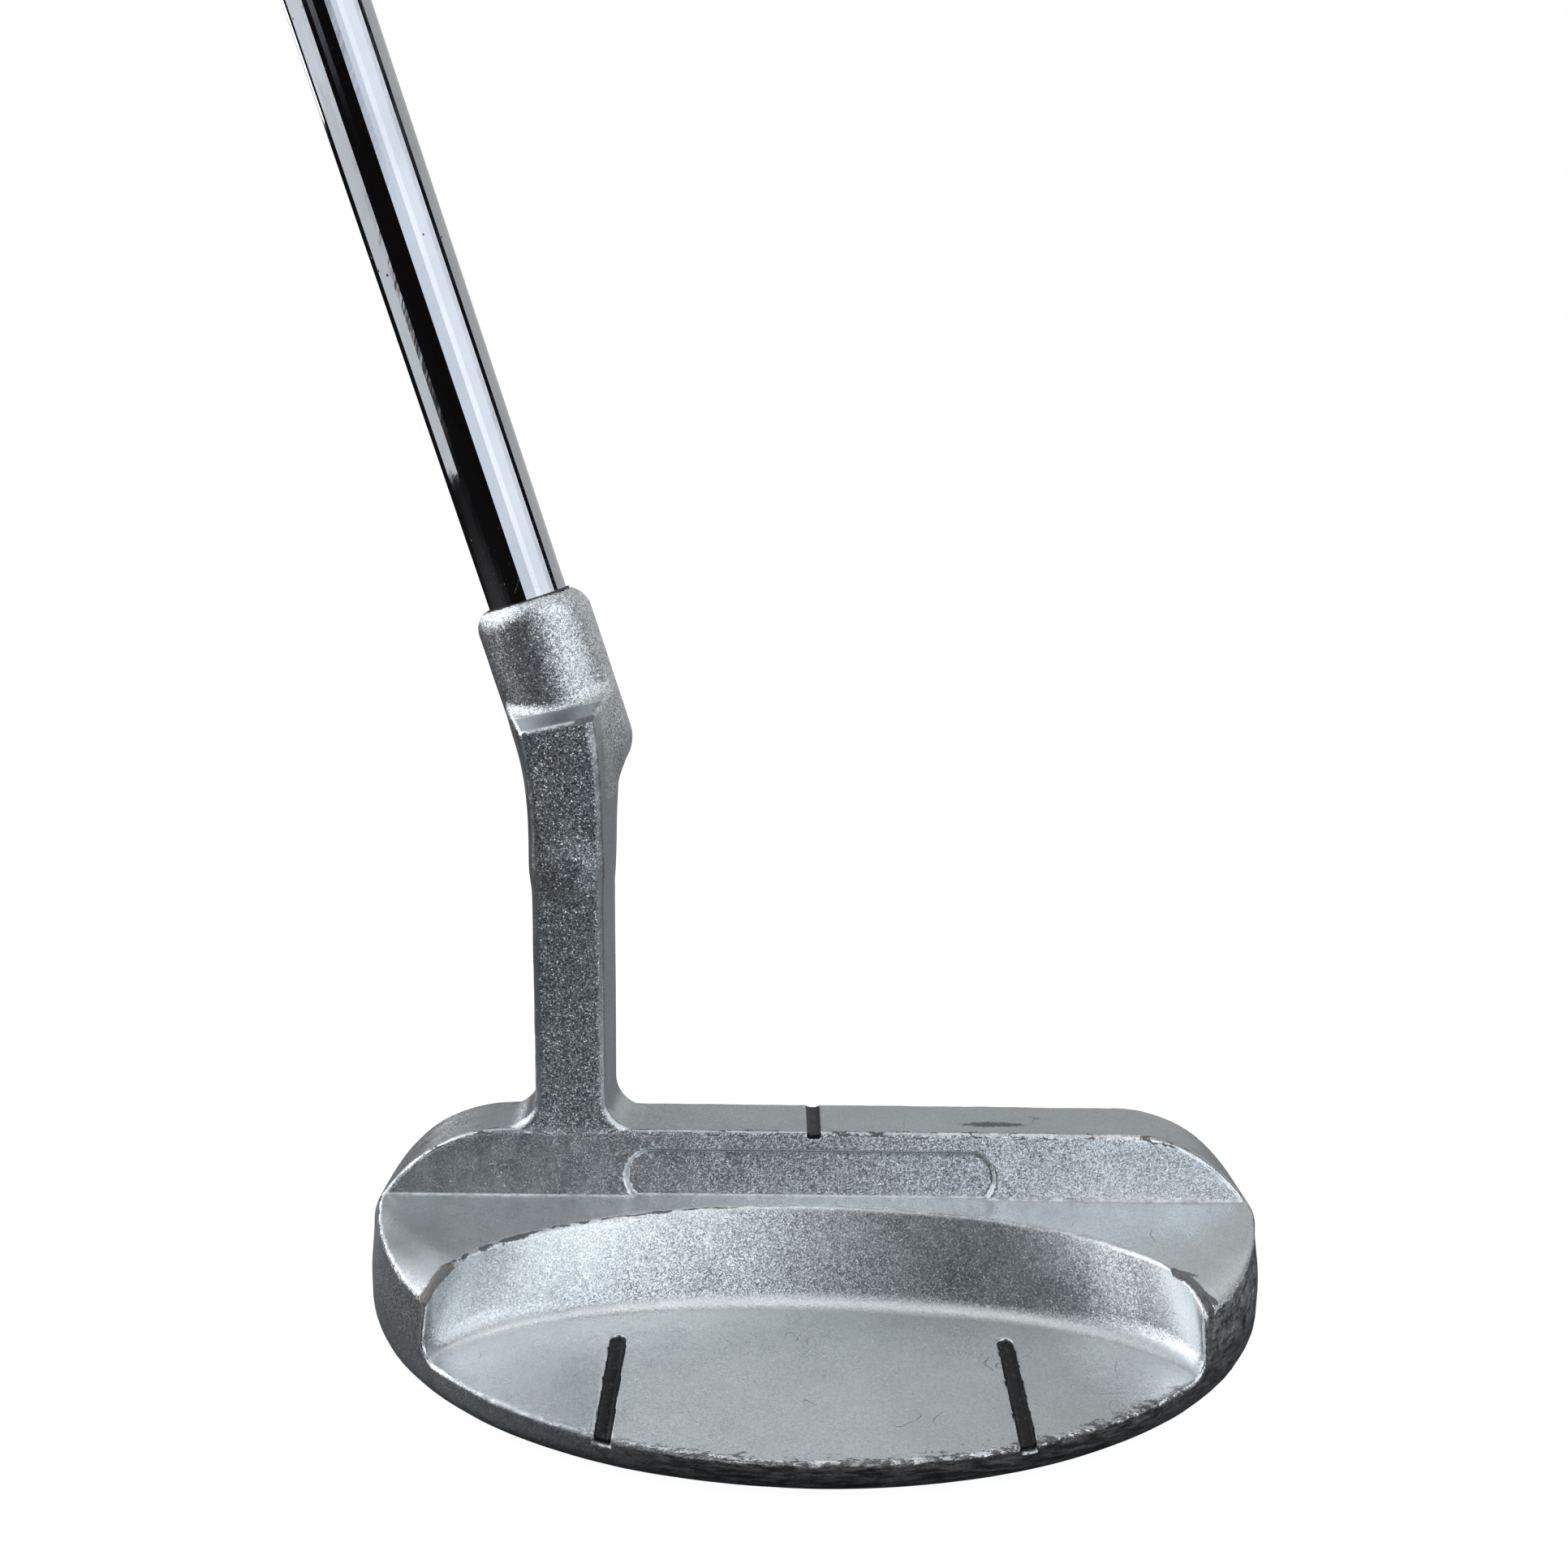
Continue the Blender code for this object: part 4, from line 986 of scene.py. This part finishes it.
def build_world():
    """White to the eye. What the metal sees is a room: tall light and dark panels all round."""
    world = bpy.data.worlds.new("studio")
    bpy.context.scene.world = world
    world.use_nodes = True
    tree = world.node_tree
    tree.nodes.clear()

    def node(kind, **settings):
        made = tree.nodes.new("ShaderNode" + kind)
        for key, value in settings.items():
            setattr(made, key, value)
        return made

    def link(a, b):
        tree.links.new(a, b)

    way = node("SeparateXYZ")
    link(node("TexCoord").outputs["Generated"], way.inputs[0])
    flip = node("Math", operation="MULTIPLY")
    link(way.outputs["Y"], flip.inputs[0])
    flip.inputs[1].default_value = -1.0
    azimuth = node("Math", operation="ARCTAN2")
    link(way.outputs["X"], azimuth.inputs[0])
    link(flip.outputs[0], azimuth.inputs[1])
    share = node("MapRange")
    link(azimuth.outputs[0], share.inputs["Value"])
    share.inputs["From Min"].default_value = -math.pi
    share.inputs["From Max"].default_value = math.pi

    def panel_ramp(value, stops):
        panels = node("ValToRGB")
        link(value, panels.inputs[0])
        elements = panels.color_ramp.elements
        for index, (degrees, _) in enumerate(stops):
            position = degrees / 360.0 + 0.5
            if index < 2:
                elements[index].position = position
            else:
                elements.new(position)
        for element, (_, colour) in zip(sorted(elements, key=lambda e: e.position), stops):
            element.color = (*colour, 1.0)
        return panels.outputs[0]

    def rising(start, end):
        made = node("MapRange", interpolation_type="SMOOTHSTEP")
        link(way.outputs["Z"], made.inputs["Value"])
        made.inputs["From Min"].default_value = start
        made.inputs["From Max"].default_value = end
        return made.outputs[0]

    def blended(value, a, b):
        made = node("Mix", data_type="RGBA")
        link(value, made.inputs[0])
        for index, source in ((6, a), (7, b)):
            if isinstance(source, tuple):
                made.inputs[index].default_value = source
            else:
                link(source, made.inputs[index])
        return made.outputs[2]

    low = panel_ramp(share.outputs[0], LOW_PANELS)
    high = panel_ramp(share.outputs[0], HIGH_PANELS)
    upwards = rising(0.08, 0.24)
    above = rising(0.86, 0.97)
    walls = blended(upwards, low, high)
    ceiling = blended(above, walls, (0.45, 0.47, 0.48, 1.0))
    room = node("Background")
    link(ceiling, room.inputs["Color"])
    white = node("Background")
    white.inputs["Color"].default_value = (1.0, 1.0, 1.0, 1.0)
    choice = node("MixShader")
    link(node("LightPath").outputs["Is Camera Ray"], choice.inputs[0])
    link(room.outputs[0], choice.inputs[1])
    link(white.outputs[0], choice.inputs[2])
    link(choice.outputs[0], node("OutputWorld").inputs["Surface"])


def build_lights():
    add_panel("left_card", (-0.39, 0.03, 0.31), (0.0, 0.03, 0.31), (0.36, 0.60), 0.80, (0.93, 0.96, 1.0))
    add_panel("overhead", (0.0, 0.1, 1.6), (0.0, 0.0, 0.0), (0.9, 0.9), 0.6, (1.0, 1.0, 1.0))
    add_panel("heel_kicker", (-0.56, 0.60, 0.28), (-0.03, 0.03, 0.08), (0.26, 0.20), 2.6, (0.97, 0.99, 1.0))


def build_camera():
    """Where the photographer stood: behind the club, a little above it."""
    focal = 35.763
    pitch, yaw, roll = (math.radians(angle) for angle in (11.369, 0.426, -0.803))
    place = Vector((-5.817, -162.247, 100.876)) * MM
    ahead = Vector((math.sin(yaw) * math.cos(pitch), math.cos(yaw) * math.cos(pitch), -math.sin(pitch)))
    right = Vector((math.cos(yaw), -math.sin(yaw), 0.0))
    down = ahead.cross(right)
    across = right * math.cos(roll) + down * math.sin(roll)
    below = down * math.cos(roll) - right * math.sin(roll)
    data = bpy.data.cameras.new("camera")
    data.sensor_width = 36.0
    data.lens = focal
    data.clip_start = 0.01
    camera = bpy.data.objects.new("camera", data)
    bpy.context.scene.collection.objects.link(camera)
    camera.matrix_world = Matrix((
        (across.x, -below.x, -ahead.x, place.x),
        (across.y, -below.y, -ahead.y, place.y),
        (across.z, -below.z, -ahead.z, place.z),
        (0.0, 0.0, 0.0, 1.0),
    ))
    bpy.context.scene.camera = camera


bpy.context.scene.view_settings.view_transform = "Standard"
build_camera()
build_head()
build_paint()
dress_nodes()
build_grip()
build_floor()
build_world()
build_lights()
